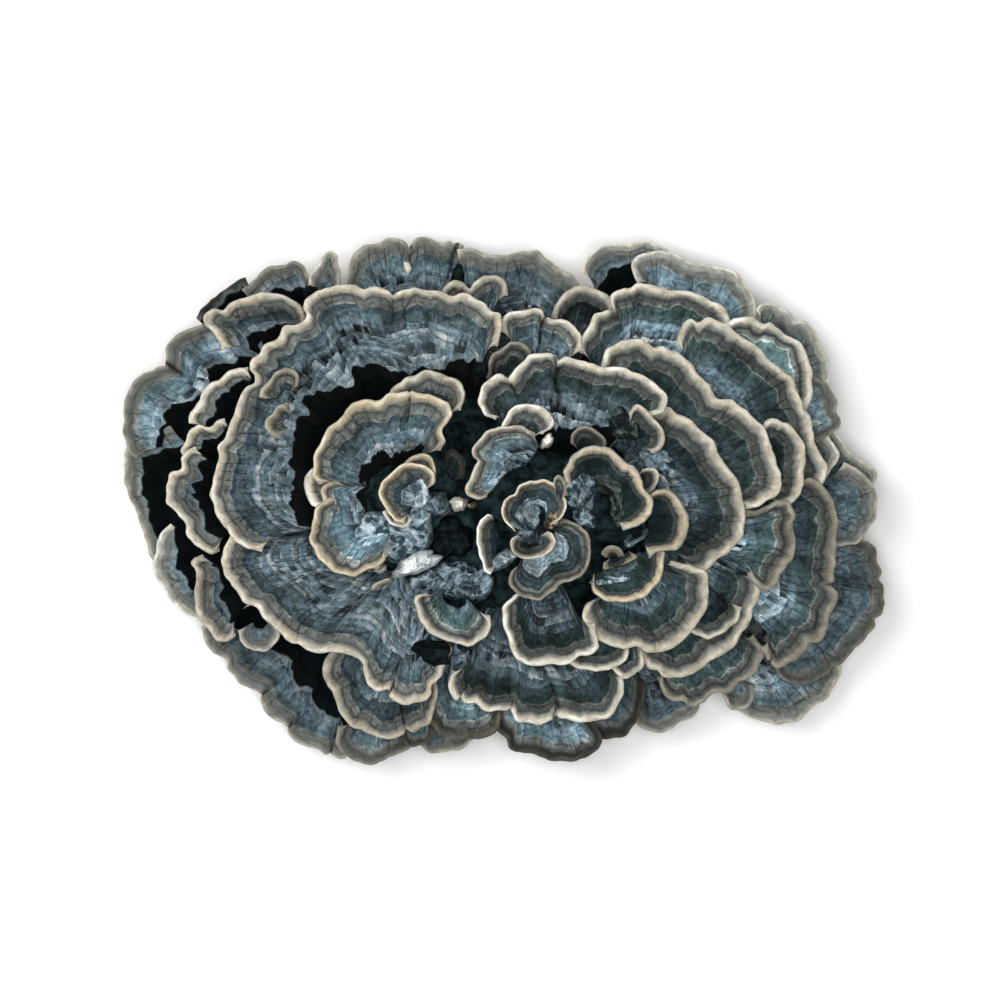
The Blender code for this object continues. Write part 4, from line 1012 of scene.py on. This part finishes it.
bracket("great_fan_left", skin=slate_skin, wrinkle=0.4, tone=0.94,
        rim=[(-1.2, 39), (-0.4, 42.5), (-0.2, 45), (-0.7, 46.8), (-3.2, 48.3), (-6, 50.4),
             (-8.6, 52.2), (-11, 52.4), (-12.5, 51.8), (-15, 52.7), (-20, 53.3), (-24.3, 53.4),
             (-27.2, 52.6), (-29.3, 53.3), (-32, 54), (-34.7, 53.6), (-37.2, 54.3), (-40, 54.3),
             (-43.3, 53.8), (-46, 52.7), (-48.6, 51), (-50, 48.6), (-49.2, 47), (-49.8, 45.6),
             (-51.5, 44.7), (-54.7, 43.6), (-56.5, 41), (-58.6, 40), (-60.7, 37.2), (-63, 35.6),
             (-63.3, 33.3), (-62, 31.4), (-62, 30), (-63.3, 29), (-65, 26.8), (-66, 24.3),
             (-68, 20.7), (-69.3, 15.8), (-70.9, 14.3), (-70.8, 10.8), (-72.2, 7.5), (-72.5, 1),
             (-71.5, -2), (-69.7, -5.3), (-67.5, -8.5), (-64, -11), (-60, -12)],
        root=[(-7, 25), (-21, 24), (-35, 17), (-41, 5), (-40, -5)],
        hollow=(8, 14, 18, 20, 21, 21.5, 20, 18, 15, 15, 18, 20, 17, 14),
        cracks=[(-27.2, 52.6, 6, 0.7)])
bracket("curl_great_fan_upper", on="great_fan_left", up=3.6, skin=slate_skin, lip=1.9, chalk=0.61,
        rim=[(-61, 26.5), (-60.4, 28), (-59, 29.6), (-57.2, 31.8), (-55, 33), (-51, 32.7),
             (-50.4, 30.8), (-51, 29)],
        root=[(-54, 26)])
bracket("curl_great_fan_lower", on="great_fan_left", up=3.6, skin=slate_skin, lip=1.9, chalk=0.58,
        rim=[(-53.5, 25), (-54.9, 24.5), (-56.8, 23), (-59.3, 20.8), (-59.5, 18.6), (-57.5, 16.5),
             (-55.5, 16)],
        root=[(-53, 20)])


# Inner left: a small rosette of its own round the dark hollow, with curls and stubs in it.

bracket("inner_cap_left_back", skin=slate_skin, chalk=0.8,
        rim=[(-29, 26), (-28, 28.6), (-25.8, 30.4), (-23, 31.5), (-19.7, 33), (-15, 32.5),
             (-12.2, 31), (-10, 29.7), (-9.3, 27.5), (-10.5, 23)],
        root=[(-20, 14)])
bracket("inner_fan_left", skin=slate_skin, lip=2.6, wrinkle=0.25, tone=1.4, gold=0.4,
        rim=[(-15.5, 13), (-14.6, 15.8), (-14.8, 17.8), (-13.6, 20), (-12.2, 22.2), (-13.3, 24.3),
             (-15.8, 26), (-18.6, 27), (-22.2, 28), (-25, 27.7), (-28.6, 27.2), (-30.8, 25.8),
             (-35, 25.8), (-38, 24.3), (-40.4, 21.5), (-43.6, 18.6), (-45, 16.3), (-46.8, 12.5),
             (-47.5, 9), (-47, 6.5), (-45.5, 4.6)],
        root=[(-20, 12), (-34, 4)], hollow=(5, 8, 12, 14, 14.5, 14.5, 14, 13.5, 12.5, 11.5, 11, 11),
        cracks=[(-23.5, 27.8, 7, 0.5)])
bracket("fold_inner_left", up=12, skin=slate_skin, lip=2.6, chalk=1.5,
        rim=[(-46, 9.5), (-48.2, 8.4), (-49.7, 6.5), (-50.1, 4), (-49.3, 1.3), (-47.9, -0.6),
             (-46.5, -1)],
        root=[(-40, 5), (-41, 1)])
bracket("lip_inner_left", up=13, skin=slate_skin, lip=1.6, tone=1.89, gold=0.3,
        rim=[(-41, 5.8), (-43.5, 5.5), (-45, 4), (-45.2, 0.8), (-44.7, -2), (-44.4, -4.8),
             (-43.4, -6.6)],
        root=[(-34, 5.5), (-34, -5)], hollow=(8, 9.5, 9.5, 10, 10))
bracket("inner_cap_left_lower", skin=slate_skin, tone=3.36, gold=0.45,
        rim=[(-43, 2), (-45.8, 0), (-47.4, -3.5), (-48, -6.4), (-48, -9.3), (-47.2, -12),
             (-45, -15), (-42.5, -16.8), (-39.7, -18), (-37.2, -18.4), (-34.7, -17.5), (-33, -16.4),
             (-30.8, -15.3), (-29, -13)],
        root=[(-36, 0), (-33, -5), (-28, -8)])
bracket("cap_curl_behind", up=12, skin=slate_skin, lip=1.5, chalk=0.8, gold=0.6,
        rim=[(-25, 9), (-24, 10.7), (-22, 11.9), (-19, 12), (-17.4, 11.2), (-16.6, 9.6),
             (-16.5, 7)],
        root=[(-22, 5), (-18.5, 5)])
bracket("curled_cap_left", skin=slate_skin, lip=1.8, tone=1.6, chalk=1.2, gold=0.6,
        rim=[(-18.6, 3.4), (-17.2, 4.8), (-17, 6.6), (-18.8, 9), (-21.4, 10.2), (-25, 9.7),
             (-27.6, 7.8), (-29.8, 5.4), (-30.7, 3), (-30.3, 0), (-28.8, -2), (-26.5, -4.3),
             (-24.5, -5)],
        root=[(-18.8, 3.4), (-20.5, 4.4), (-22.4, 1), (-24, -3.2)])
bracket("cap_curl_below", up=10, skin=slate_skin, lip=1.5, chalk=1.25,
        rim=[(-29.8, -2), (-29.3, -3.8), (-28.2, -5.2), (-25.8, -6), (-24, -5.7), (-22.8, -4.2)],
        root=[(-25.5, 0)])

# Dark velvet of the small caps and the rolled ones: near black straight behind a golden lip.
dark_skin = zoned_skin("dark_velvet_skin", "charcoal_cap_surface", 3.6, (
    (0.0, FROST), (0.8, WARM_CREAM), (1.4, WARM_CREAM), (1.9, FAWN), (2.2, LIP_GREY),
    (2.45, DARK_TAUPE), (2.8, GROOVE), (3.2, DARK_TAUPE), (3.6, GROOVE),
    (3.8, NIGHT), (9.4, NIGHT), (9.8, SLATE), (12.0, DEEP_SLATE), (15.0, SLATE), (22.0, CHARCOAL),
), pale="#8aa0ae", step=0.3, mottle=0.4, folds=0.4)

bracket("cap_small_dark", up=12, skin=dark_skin, lip=1.1, chalk=0.05,
        rim=[(-14.6, 11), (-13.3, 13), (-11.8, 13.4), (-10.4, 12.2), (-9.5, 10.4), (-9.2, 7.4),
             (-10, 6)],
        root=[(-14.5, 8), (-12.5, 5.5)])
bracket("cap_left_of_bottom", up=9, skin=slate_skin, lip=1.8, gold=0.3,
        rim=[(-28.5, -19), (-30.5, -19.6), (-32.6, -20.3), (-33.8, -21.9), (-33.3, -24.3),
             (-31.8, -26.6), (-29.3, -27.6), (-27.5, -29), (-25.6, -29), (-24.6, -27)],
        root=[(-27.5, -19.5), (-26.5, -23), (-24.8, -25.5)])
bracket("inner_cap_bottom_left", skin=charcoal_skin, lip=2.2, tone=3.62, chalk=0.98,
        rim=[(-19, -22.5), (-21.4, -23.3), (-22.3, -24.6), (-21.8, -26.8), (-20.4, -30),
             (-18.6, -32), (-16.5, -33.5), (-13.3, -34.8), (-10, -35.5), (-7.5, -35.5),
             (-5.4, -34.3), (-4, -32.5), (-3.2, -31), (-3.6, -28)],
        root=[(-12, -22)])


# Behind the crown: a lobe and the broad fan on top, split deep in two, with small caps on it.

bracket("inner_lobe_top", skin=charcoal_skin, lip=2.0, chalk=0.42,
        rim=[(-4.2, 31), (-4, 34.3), (-3.3, 36.8), (-0.7, 38.6), (0.7, 39.7), (1.8, 40.4),
             (4, 39.9), (6.8, 37.9), (8, 35)],
        root=[(2, 24)])
bracket("inner_fan_top", skin=charcoal_skin, lip=2.5, tone=0.99, chalk=1.25,
        rim=[(-2, 20.5), (-4.8, 22.2), (-6.5, 25), (-6, 27.2), (-4.7, 29.7), (-2.5, 31.5),
             (0, 32.2), (1.4, 32), (3.2, 34), (5.3, 35.7), (8.2, 37), (11, 37.4), (13.3, 36.6),
             (14.6, 36.4), (17, 36), (19.3, 35), (21.8, 34.7), (25.3, 34), (30, 33.8), (33.5, 32.2),
             (36.8, 30.4), (39.6, 28.2), (41, 25.7), (40.3, 23.6), (37.8, 21.8), (35, 20)],
        root=[(4, 12), (24, 10)], hollow=(6, 10, 14, 17, 17, 16, 15, 13),
        cracks=[(13.8, 36.3, 15, 1.5), (0.8, 32.2, 6, 0.8)])
bracket("cap_small_right_of_fan", on="inner_cap_right", up=3.5, skin=charcoal_skin, lip=2.2,
        rim=[(31, 22.5), (32.8, 24.2), (34.8, 23.9), (36.4, 22.4), (38, 20), (39.6, 17.5),
             (40, 15.4), (39, 13.4), (37, 12.5)],
        root=[(30, 14)])
bracket("cap_small_centre", on="inner_fan_top", up=2.5, skin=slate_skin, lip=1.9, chalk=1.35,
        rim=[(-0.5, 17), (0, 19.5), (1, 21.8), (1.8, 23.4), (3.4, 24.5), (5.7, 25), (9, 24.2),
             (11, 23), (12.5, 20.7), (12, 18.6), (9.8, 17)],
        root=[(5, 15)])


# Crown: the highest brackets, rolled and ruffled into spirals. Their lips are thin and golden, the
# velvet behind them dark, and pale blue where it folds down into the throats.

crown_skin = zoned_skin("ruffled_crown_skin", "charcoal_cap_surface", 4.6, (
    (0.0, CREAM), (0.9, WARM_CREAM), (1.3, FAWN), (1.7, STONE), (2.1, ASH), (2.4, DARK_TAUPE),
    (3.2, TAUPE), (4.2, TAUPE), (4.5, TAUPE_EDGE),
    (4.65, CHARCOAL), (6.0, DARK_SLATE), (8.0, DEEP_SLATE), (9.8, DEEP_SLATE),
    (10.2, FROST), (11.0, ICE), (11.8, FROST), (12.8, ICE), (14.5, FROST), (16.0, ICE),
    (18.0, FROST), (24.0, PALE_SLATE),
), pale="#9fb2bf", step=0.3, mottle=0.45, bleach=0.1)

bracket("crown_cap_left", skin=slate_skin, lip=1.6, tone=3.52, chalk=0.88,
        rim=[(8, 17), (5.7, 19), (1.5, 19.3), (-1.8, 18.6), (-4.6, 17.2), (-6.8, 15.2), (-8, 13),
             (-7.4, 11.2), (-6.3, 10.6), (-7.3, 8.6), (-8.5, 5.8), (-9.6, 3.6), (-8.8, 1.9),
             (-7.2, 0.9), (-5.4, 0.7), (-4, 1.4)],
        root=[(9, 14), (6, 9.5), (1, 7.5), (-2.5, 3.5)])
bracket("crown_cap_lower_right", skin=dark_skin, lip=1.6, tone=1.88, chalk=1.1, gold=0.5,
        rim=[(37.5, -10), (39.6, -11.5), (40, -13.3), (39.7, -17.5), (38.6, -20), (36.9, -21.8),
             (34, -24), (29.4, -25), (26, -24.3), (24, -23.3), (22, -22), (21.5, -19.5)],
        root=[(35.5, -12), (31, -15), (26, -16.5), (22.5, -17.5)])
bracket("crown_cap_far_right", skin=dark_skin, tone=0.98, chalk=0.85, gold=0.4,
        rim=[(35.5, 1.5), (38, 3), (40.7, 3.3), (43, 1.8), (44.6, -0.3), (45.9, -3), (46, -5.7),
             (45.3, -8.5), (43.2, -11.1), (40.3, -11.9), (38, -12), (36, -13.5)],
        root=[(35, 0), (35.5, -4), (35, -10)])
bracket("lip_crown_right_upper", up=8, skin=dark_skin, lip=1.6, gold=0.6,
        rim=[(25.6, -13.6), (24.4, -12.4), (25.2, -11.1), (27.4, -10.7), (29.6, -11.4),
             (30.4, -13)],
        root=[(26.6, -13.6), (29, -13.6)])
bracket("lip_crown_right_lower", up=9.5, skin=dark_skin, lip=1.9, gold=0.5,
        rim=[(24.8, -15), (25, -16.6), (26.8, -17.7), (29.5, -17.1), (32, -15.7), (34.2, -14.4),
             (33.4, -12.8)],
        root=[(27, -13.6), (31.5, -12)])
bracket("cap_behind_crown", on="inner_fan_top", up=4.5, skin=charcoal_skin, lip=1.6, chalk=0.43,
        rim=[(16.8, 14.8), (17, 16.8), (18.2, 18.2), (20, 18.8), (22.5, 18.2), (24.3, 16.8),
             (25.9, 15.4), (25.6, 13)],
        root=[(21, 11)])
bracket("cap_beside_crown", on="inner_cap_right", up=4.5, skin=charcoal_skin, lip=1.6, chalk=1.14,
        rim=[(34.5, 8.4), (36.4, 9), (38, 8.4), (38.8, 6), (38, 3.6), (36, 2.2), (34.5, 2)],
        root=[(32, 5.5)])
bracket("crown_cap_right", skin=dark_skin, lip=2.1, tone=1.08, gold=0.35,
        rim=[(17.5, 3), (15.2, 5.5), (14.6, 7.6), (16, 10.4), (18.4, 12.8), (21, 14.1), (23.8, 14),
             (26.4, 13.3), (28.5, 12), (30.5, 10.2), (32.8, 8.6), (34.4, 5.4), (35.4, 3), (36.8, 1),
             (36.6, -1.8), (35.4, -3.9), (32.8, -5.8), (29.6, -6.9)],
        root=[(18.5, 1.5), (19.5, 4), (24, 4.5), (28, 2), (28, -4)])
bracket("cap_left_of_crown", up=14, skin=slate_skin, lip=1.6, chalk=1.79,
        rim=[(-2.6, -3.4), (-3.6, -2.9), (-5, -3.5), (-6, -5.8), (-6.7, -8.5), (-6.1, -11.8),
             (-5.2, -14.3), (-4.6, -16.6), (-3, -17.6)],
        root=[(-2.4, -4), (-0.8, -7.6), (-1.4, -10), (-1.4, -14)])
bracket("crown_ruffle_lower", skin=crown_skin, lip=1.3, tone=1.31, chalk=0.5,
        rim=[(14.5, -3.6), (16.8, -4.4), (19, -5.8), (20.8, -7.6), (21.7, -10), (21.6, -13),
             (20.8, -16), (19, -18.4), (16.5, -19.8), (14.2, -20.3), (12.6, -22), (10.5, -23.4),
             (7.8, -24), (4.6, -23), (2.4, -21.2), (1.4, -19), (2, -17), (3.6, -15.6)],
        root=[(12.4, -6), (12.6, -10.5), (10, -12.8), (6, -13), (4.6, -13.8)])
bracket("stub_crown", on="crown_cap_right", skin=slate_skin, lip=1.3, chalk=0.7,
        rim=[(12.2, 4), (12.6, 5.6), (13.4, 6.6), (14.6, 6.4), (15.6, 4.6), (15.8, 2)],
        root=[(13.5, 0)])
bracket("crown_ruffle_upper", skin=crown_skin, lip=1.15, tone=1.5, chalk=1.38, gold=0.5,
        rim=[(11.4, -6), (13.3, -5.2), (14.9, -3.4), (15.7, -0.8), (15.3, 1.8), (13.9, 4),
             (12.2, 5.2), (10.2, 6.1), (8.2, 5.9), (6, 5.3), (4, 4.2), (2.7, 2.4), (1.6, 2.1),
             (0.4, 0.9), (-0.2, -1.2), (0.2, -3.6), (1.4, -5.8), (3, -7.6), (5, -8.2)],
        root=[(10.6, -4.6), (9.9, -1), (7, -1), (8.4, -6.6)])
bracket("crown_ruffle_inner", skin=crown_skin, lip=1.5, chalk=1.18, gold=0.3,
        rim=[(10.8, -7), (12.3, -7.6), (13.1, -9.2), (12.6, -10.9), (11, -12.4), (8.8, -13.5),
             (5.8, -13.7), (3.4, -12.8), (1.8, -11.3), (1.4, -9.6), (2.3, -8.2), (3.8, -7.6)],
        root=[(8.6, -8.6), (7.4, -9.6), (5.6, -9.6), (5, -8.8)])


# Old tissue: the crumpled flesh where brackets leave the base, dried blue-grey and frayed. It
# fills the throats of the crown and the hollow of the left rosette, with a few cream scars. Its
# creases carry painted highlights and painted shade, and black lumps of it stand in the gaps
# between brackets as painted shade.

CREASE_SIZE = 2.6   # between the creases of a lump
SMALLEST_LUMP = 56  # points round a lump, from the smallest
LARGEST_LUMP = 84   # to the largest


def crumple(name, at, reach, turn, height, skin, on="fused_base"):
    """A crumpled lump: a half ellipsoid over a lobed ellipse, cut up by creases, flat below.

    It stands at a place, reaches so far along its length and width, and is turned by degrees.
    """
    around = int(np.clip(12 * sum(reach), SMALLEST_LUMP, LARGEST_LUMP))
    rings = round(0.31 * around)
    seed = 500 + 10 * len(surfaces) + len(bpy.data.objects)
    start = np.random.default_rng(seed).uniform(0, 6.28, 4)
    angle = np.linspace(0, 2 * np.pi, around, endpoint=False)[None, :]
    out = np.linspace(0, 1, rings + 1)[1:, None]
    lobes = 1 + 0.1 * np.sin(3 * angle + start[0]) + 0.06 * np.sin(5 * angle + start[1])
    lobes = lobes + 0.04 * np.sin(8 * angle + start[2]) + 0.02 * np.sin(13 * angle + start[3])
    x = np.r_[0, (reach[0] * lobes * np.cos(angle) * out).ravel()]
    y = np.r_[0, (reach[1] * lobes * np.sin(angle) * out).ravel()]
    out = np.r_[0, (out + 0 * angle).ravel()]
    cos, sin = np.cos(np.radians(turn)), np.sin(np.radians(turn))
    plan = np.column_stack([at[0] + x * cos - y * sin, at[1] + x * sin + y * cos])
    relief = creases(plan[:, 0] / CREASE_SIZE + 50, plan[:, 1] / CREASE_SIZE + 50, seed)
    ground = surfaces[on](plan)
    swell = (1 - out ** 4 * 0.999) ** 0.6
    top = ground - 0.4 + swell * (0.85 * height + 0.5 * np.sqrt(height) * relief)
    under = np.maximum((ground - 1.2)[:-around], 0.1)
    points, faces = sewn_discs(np.column_stack([plan, top]),
                               np.column_stack([plan[:-around], under]), around)
    piece = add_piece(name, points, faces)
    # Relief for the skin's painted light and shade, lessened toward the lump's foot so that it is
    # darker there.
    both = np.r_[relief * (0.4 + 0.6 * swell), 0 * under].astype(np.float32)
    piece.data.attributes.new("relief", "FLOAT", "POINT").data.foreach_set("value", both)
    piece.data.materials.append(skin)
    return piece


def tissue_skin(name, valley, slope, ridge):
    """Frayed tissue: pale on the crests of its creases as painted highlight, dark between them as
    painted shade, mottled and torn.
    """
    material, tree, shader = new_material(name, 0.9)
    relief = node(tree, "Attribute", attribute_name="relief", output="Fac")
    place = node(tree, "TexCoord", output="Object")
    sway = node(tree, "TexNoise", place, Scale=per_metre(3.33), Detail=2.0, output="Color")
    bent = node(tree, "VectorMath MULTIPLY_ADD", sway, (3 * MM, 3 * MM, 3 * MM), place)
    mottle = node(tree, "TexNoise", bent, Scale=per_metre(1.43), Detail=5.0)
    # Painted light: the relief makes crests pale and the valleys between them dark.
    light = node(tree, "Math MULTIPLY_ADD", relief, 0.75, -0.5)
    light = node(tree, "Math MULTIPLY_ADD", mottle, 0.3, light)
    for flake_mm, share in ((2.38, 0.48), (1.0, 0.36)):
        cells = node(tree, "TexVoronoi", bent, Scale=per_metre(flake_mm), output="Color")
        light = node(tree, "Math MULTIPLY_ADD", node(tree, "SeparateXYZ", cells), share, light)
    ramp = node(tree, "ValToRGB", light)
    spread_colours(ramp, ((0.15, valley), (0.45, slope), (0.8, ridge)))
    tree.links.new(ramp, shader.inputs["Base Color"])
    bump = node(tree, "Bump", Strength=0.9, Distance=1 * MM, Height=light)
    tree.links.new(bump, shader.inputs["Normal"])
    return material


blue_tissue = tissue_skin("dried_blue_tissue", "#1c272c", "#5f727c", "#9db0ba")
light_tissue = tissue_skin("light_blue_tissue", "#36454d", "#8499a4", "#c3d3db")
washed_tissue = tissue_skin("washed_blue_tissue", "#5b6c74", "#a3b4bc", "#dbe6ea")
cream_tissue = tissue_skin("torn_cream_flesh", "#d8d2bf", "#fbf8ec", "#ffffff")
pale_tissue = tissue_skin("chalky_pale_tissue", "#c6cfd2", "#f2f7f8", "#ffffff")
# Painted shade: near black, for the lumps that stand in the gaps between brackets.
shade_tissue = tissue_skin("near_black_painted_shade", "#04080a", "#0c1416", "#182325")
charcoal_tissue = tissue_skin("charcoal_folded_tissue", "#161d1f", "#3a4443", "#5e6966")
tan_tissue = tissue_skin("tan_bruised_flesh", "#2f2a22", "#857a66", "#c0b196")

crumple("folds_left_hollow", (-31, -9.2), (10.5, 6.4), -8, 7.5, light_tissue)
crumple("folds_middle_left", (-21.6, -5.8), (4.4, 7.4), -10, 8.0, light_tissue)
crumple("folds_beside_curl", (-17.4, -0.6), (4.6, 3.6), 10, 7.5, blue_tissue)
# Painted shade: a black lump for the shade in a gap.
crumple("painted_shade_lump_left_of_crown", (-13, -9), (5.2, 5.4), -40, 4.0, shade_tissue)
crumple("folds_below_hollow", (-19.5, -19.8), (6.4, 3.2), 12, 6.5, blue_tissue)
crumple("folds_left_of_crown", (-11.5, -19.2), (6.4, 5.0), -5, 7.5, blue_tissue)
crumple("folds_below_stalk", (-5.2, -20.6), (3.0, 5.2), -20, 8.0, blue_tissue)
crumple("stalk_left_of_crown", (-1.0, -14.8), (5.6, 2.1), 30, 11.5, washed_tissue)
crumple("folds_in_curl", (-21.8, 2), (3.8, 3.4), 30, 1.6, washed_tissue, on="curled_cap_left")
crumple("pale_lump", (-21.8, -15.3), (6.6, 2.7), 22, 11.5, pale_tissue)
crumple("pale_scar", (-31, -16.6), (1.9, 1.3), 10, 9.0, cream_tissue)
crumple("cream_scar", (-11.1, -0.2), (2.3, 1.9), 0, 16.0, cream_tissue)
crumple("tan_scar", (-7.8, -0.6), (1.8, 0.9), 0, 10.0, tan_tissue)
crumple("cream_stub", (11, 15.4), (1.4, 2.2), -35, 5.5, cream_tissue, on="inner_fan_top")
crumple("cream_nub", (-24, 59.3), (0.9, 1.7), 15, 1.6, cream_tissue, on="outer_cap_top_wide")
crumple("plate_in_ruffle", (6.2, -2.6), (3.2, 3.4), -15, 0.8, washed_tissue,
        on="crown_ruffle_upper")
crumple("fold_between_ruffles", (4.6, -6.6), (3.4, 1.7), -22, 1.2, blue_tissue,
        on="crown_ruffle_upper")
crumple("throat_of_cup", (7.2, -8.9), (3.8, 1.7), 0, 0.6, blue_tissue, on="crown_ruffle_inner")
crumple("tan_fold_crown", (12.0, -4.3), (1.5, 2.7), -25, 1.2, tan_tissue, on="crown_ruffle_upper")
crumple("folds_crown_right", (19.4, 2.6), (4.2, 4.6), -25, 1.8, light_tissue, on="crown_cap_right")
crumple("folds_crown_right_top", (25.2, 4.6), (4.8, 2.5), -20, 1.2, charcoal_tissue,
        on="crown_cap_right")
crumple("folds_crown_right_low", (28.2, -0.8), (1.9, 4.6), 5, 1.2, charcoal_tissue,
        on="crown_cap_right")
crumple("folds_behind_ruffles", (20.2, -3.6), (3.6, 2.2), -35, 1.8, blue_tissue,
        on="crown_ruffle_lower")
crumple("folds_right_of_fan", (38.6, 10.5), (5.4, 3.2), -35, 1.4, blue_tissue, on="inner_cap_right")
crumple("folds_under_fan", (30, 19.5), (4.4, 3.4), -50, 2.2, charcoal_tissue, on="inner_fan_top")
crumple("folds_crown_lower", (27.5, -18.8), (5.6, 1.3), 12, 1.2, light_tissue,
        on="crown_cap_lower_right")
crumple("folds_far_right", (33, -8.4), (3.6, 1.6), 35, 1.4, blue_tissue, on="crown_cap_far_right")
# Painted shade: a black lump for the shade in a gap.
crumple("painted_shade_lump_lower_left", (-17.6, -37.2), (5.0, 3.2), -20, 1.6, shade_tissue,
        on="fan_lower_left")
crumple("folds_bottom_left", (-10.2, -38.6), (3.2, 5.2), 8, 2.0, blue_tissue,
        on="shelf_bottom_left_of_centre")
crumple("folds_below_right_fan", (63, -31.4), (4.6, 3.0), -45, 1.6, charcoal_tissue,
        on="outer_cap_bottom_right")
# Painted shade: black lumps for the shade in small gaps.
crumple("painted_shade_lump_top", (-11.2, 57), (1.8, 3.0), 0, 1.2, shade_tissue, on="outer_cap_top_middle")
crumple("painted_shade_lump_top_left", (-48.2, 52.8), (1.8, 1.8), 0, 1.2, shade_tissue, on="shelf_top_left")
crumple("painted_shade_lump_behind_crown", (-5.2, 33), (1.7, 2.2), 0, 1.2, shade_tissue, on="inner_lobe_top")


# Stage: a plain pale floor, a soft key light from the upper left that brightens the rims there,
# a broad fill from above, and the camera straight above.

PIXEL_MM = 0.25              # one photo pixel at the middle height of the rosette
FRAME_MM = 1000 * PIXEL_MM
MIDDLE_X_MM = -0.75
MIDDLE_Y_MM = 0.75
MIDDLE_Z_MM = 20.0
LENS_MM = 200.0
SENSOR_MM = 36.0

floor_mesh = bpy.data.meshes.new("pale_floor")
floor_mesh.from_pydata([(-3, -3, 0), (3, -3, 0), (3, 3, 0), (-3, 3, 0)], [], [(0, 1, 2, 3)])
floor_mesh.transform(Matrix.Translation((0, 0, -0.0002)))
pale_floor = bpy.data.objects.new("pale_floor", floor_mesh)
bpy.context.scene.collection.objects.link(pale_floor)
floor_paint, tree, shader = new_material("pale_floor_paint", 0.9)
shader.inputs["Base Color"].default_value = linear("#f7f7f7")
floor_mesh.materials.append(floor_paint)


def area_light(name, place, size, watts):
    """A square soft light that faces the middle of the rosette."""
    data = bpy.data.lights.new(name, "AREA")
    data.size = size
    data.energy = watts
    lamp = bpy.data.objects.new(name, data)
    lamp.location = place
    away = lamp.location.copy()
    away.z -= MIDDLE_Z_MM * MM
    lamp.rotation_euler = away.to_track_quat("Z", "Y").to_euler()
    bpy.context.scene.collection.objects.link(lamp)


area_light("key", (-0.55, 0.3, 0.9), 0.7, 7.9)
area_light("fill", (0.1, -0.2, 1.6), 1.0, 19.5)

world = bpy.data.worlds.new("studio_air")
world.use_nodes = True
world.node_tree.nodes["Background"].inputs["Color"].default_value = linear("#d5d9de")
world.node_tree.nodes["Background"].inputs["Strength"].default_value = 0.16
bpy.context.scene.world = world
bpy.context.scene.view_settings.view_transform = "Standard"

camera_data = bpy.data.cameras.new("camera")
camera_data.lens = LENS_MM
camera_data.sensor_width = SENSOR_MM
camera_data.clip_end = 10.0
camera = bpy.data.objects.new("camera", camera_data)
distance = LENS_MM * FRAME_MM / SENSOR_MM
camera.location = (MIDDLE_X_MM * MM, MIDDLE_Y_MM * MM, (MIDDLE_Z_MM + distance) * MM)
bpy.context.scene.collection.objects.link(camera)
bpy.context.scene.camera = camera
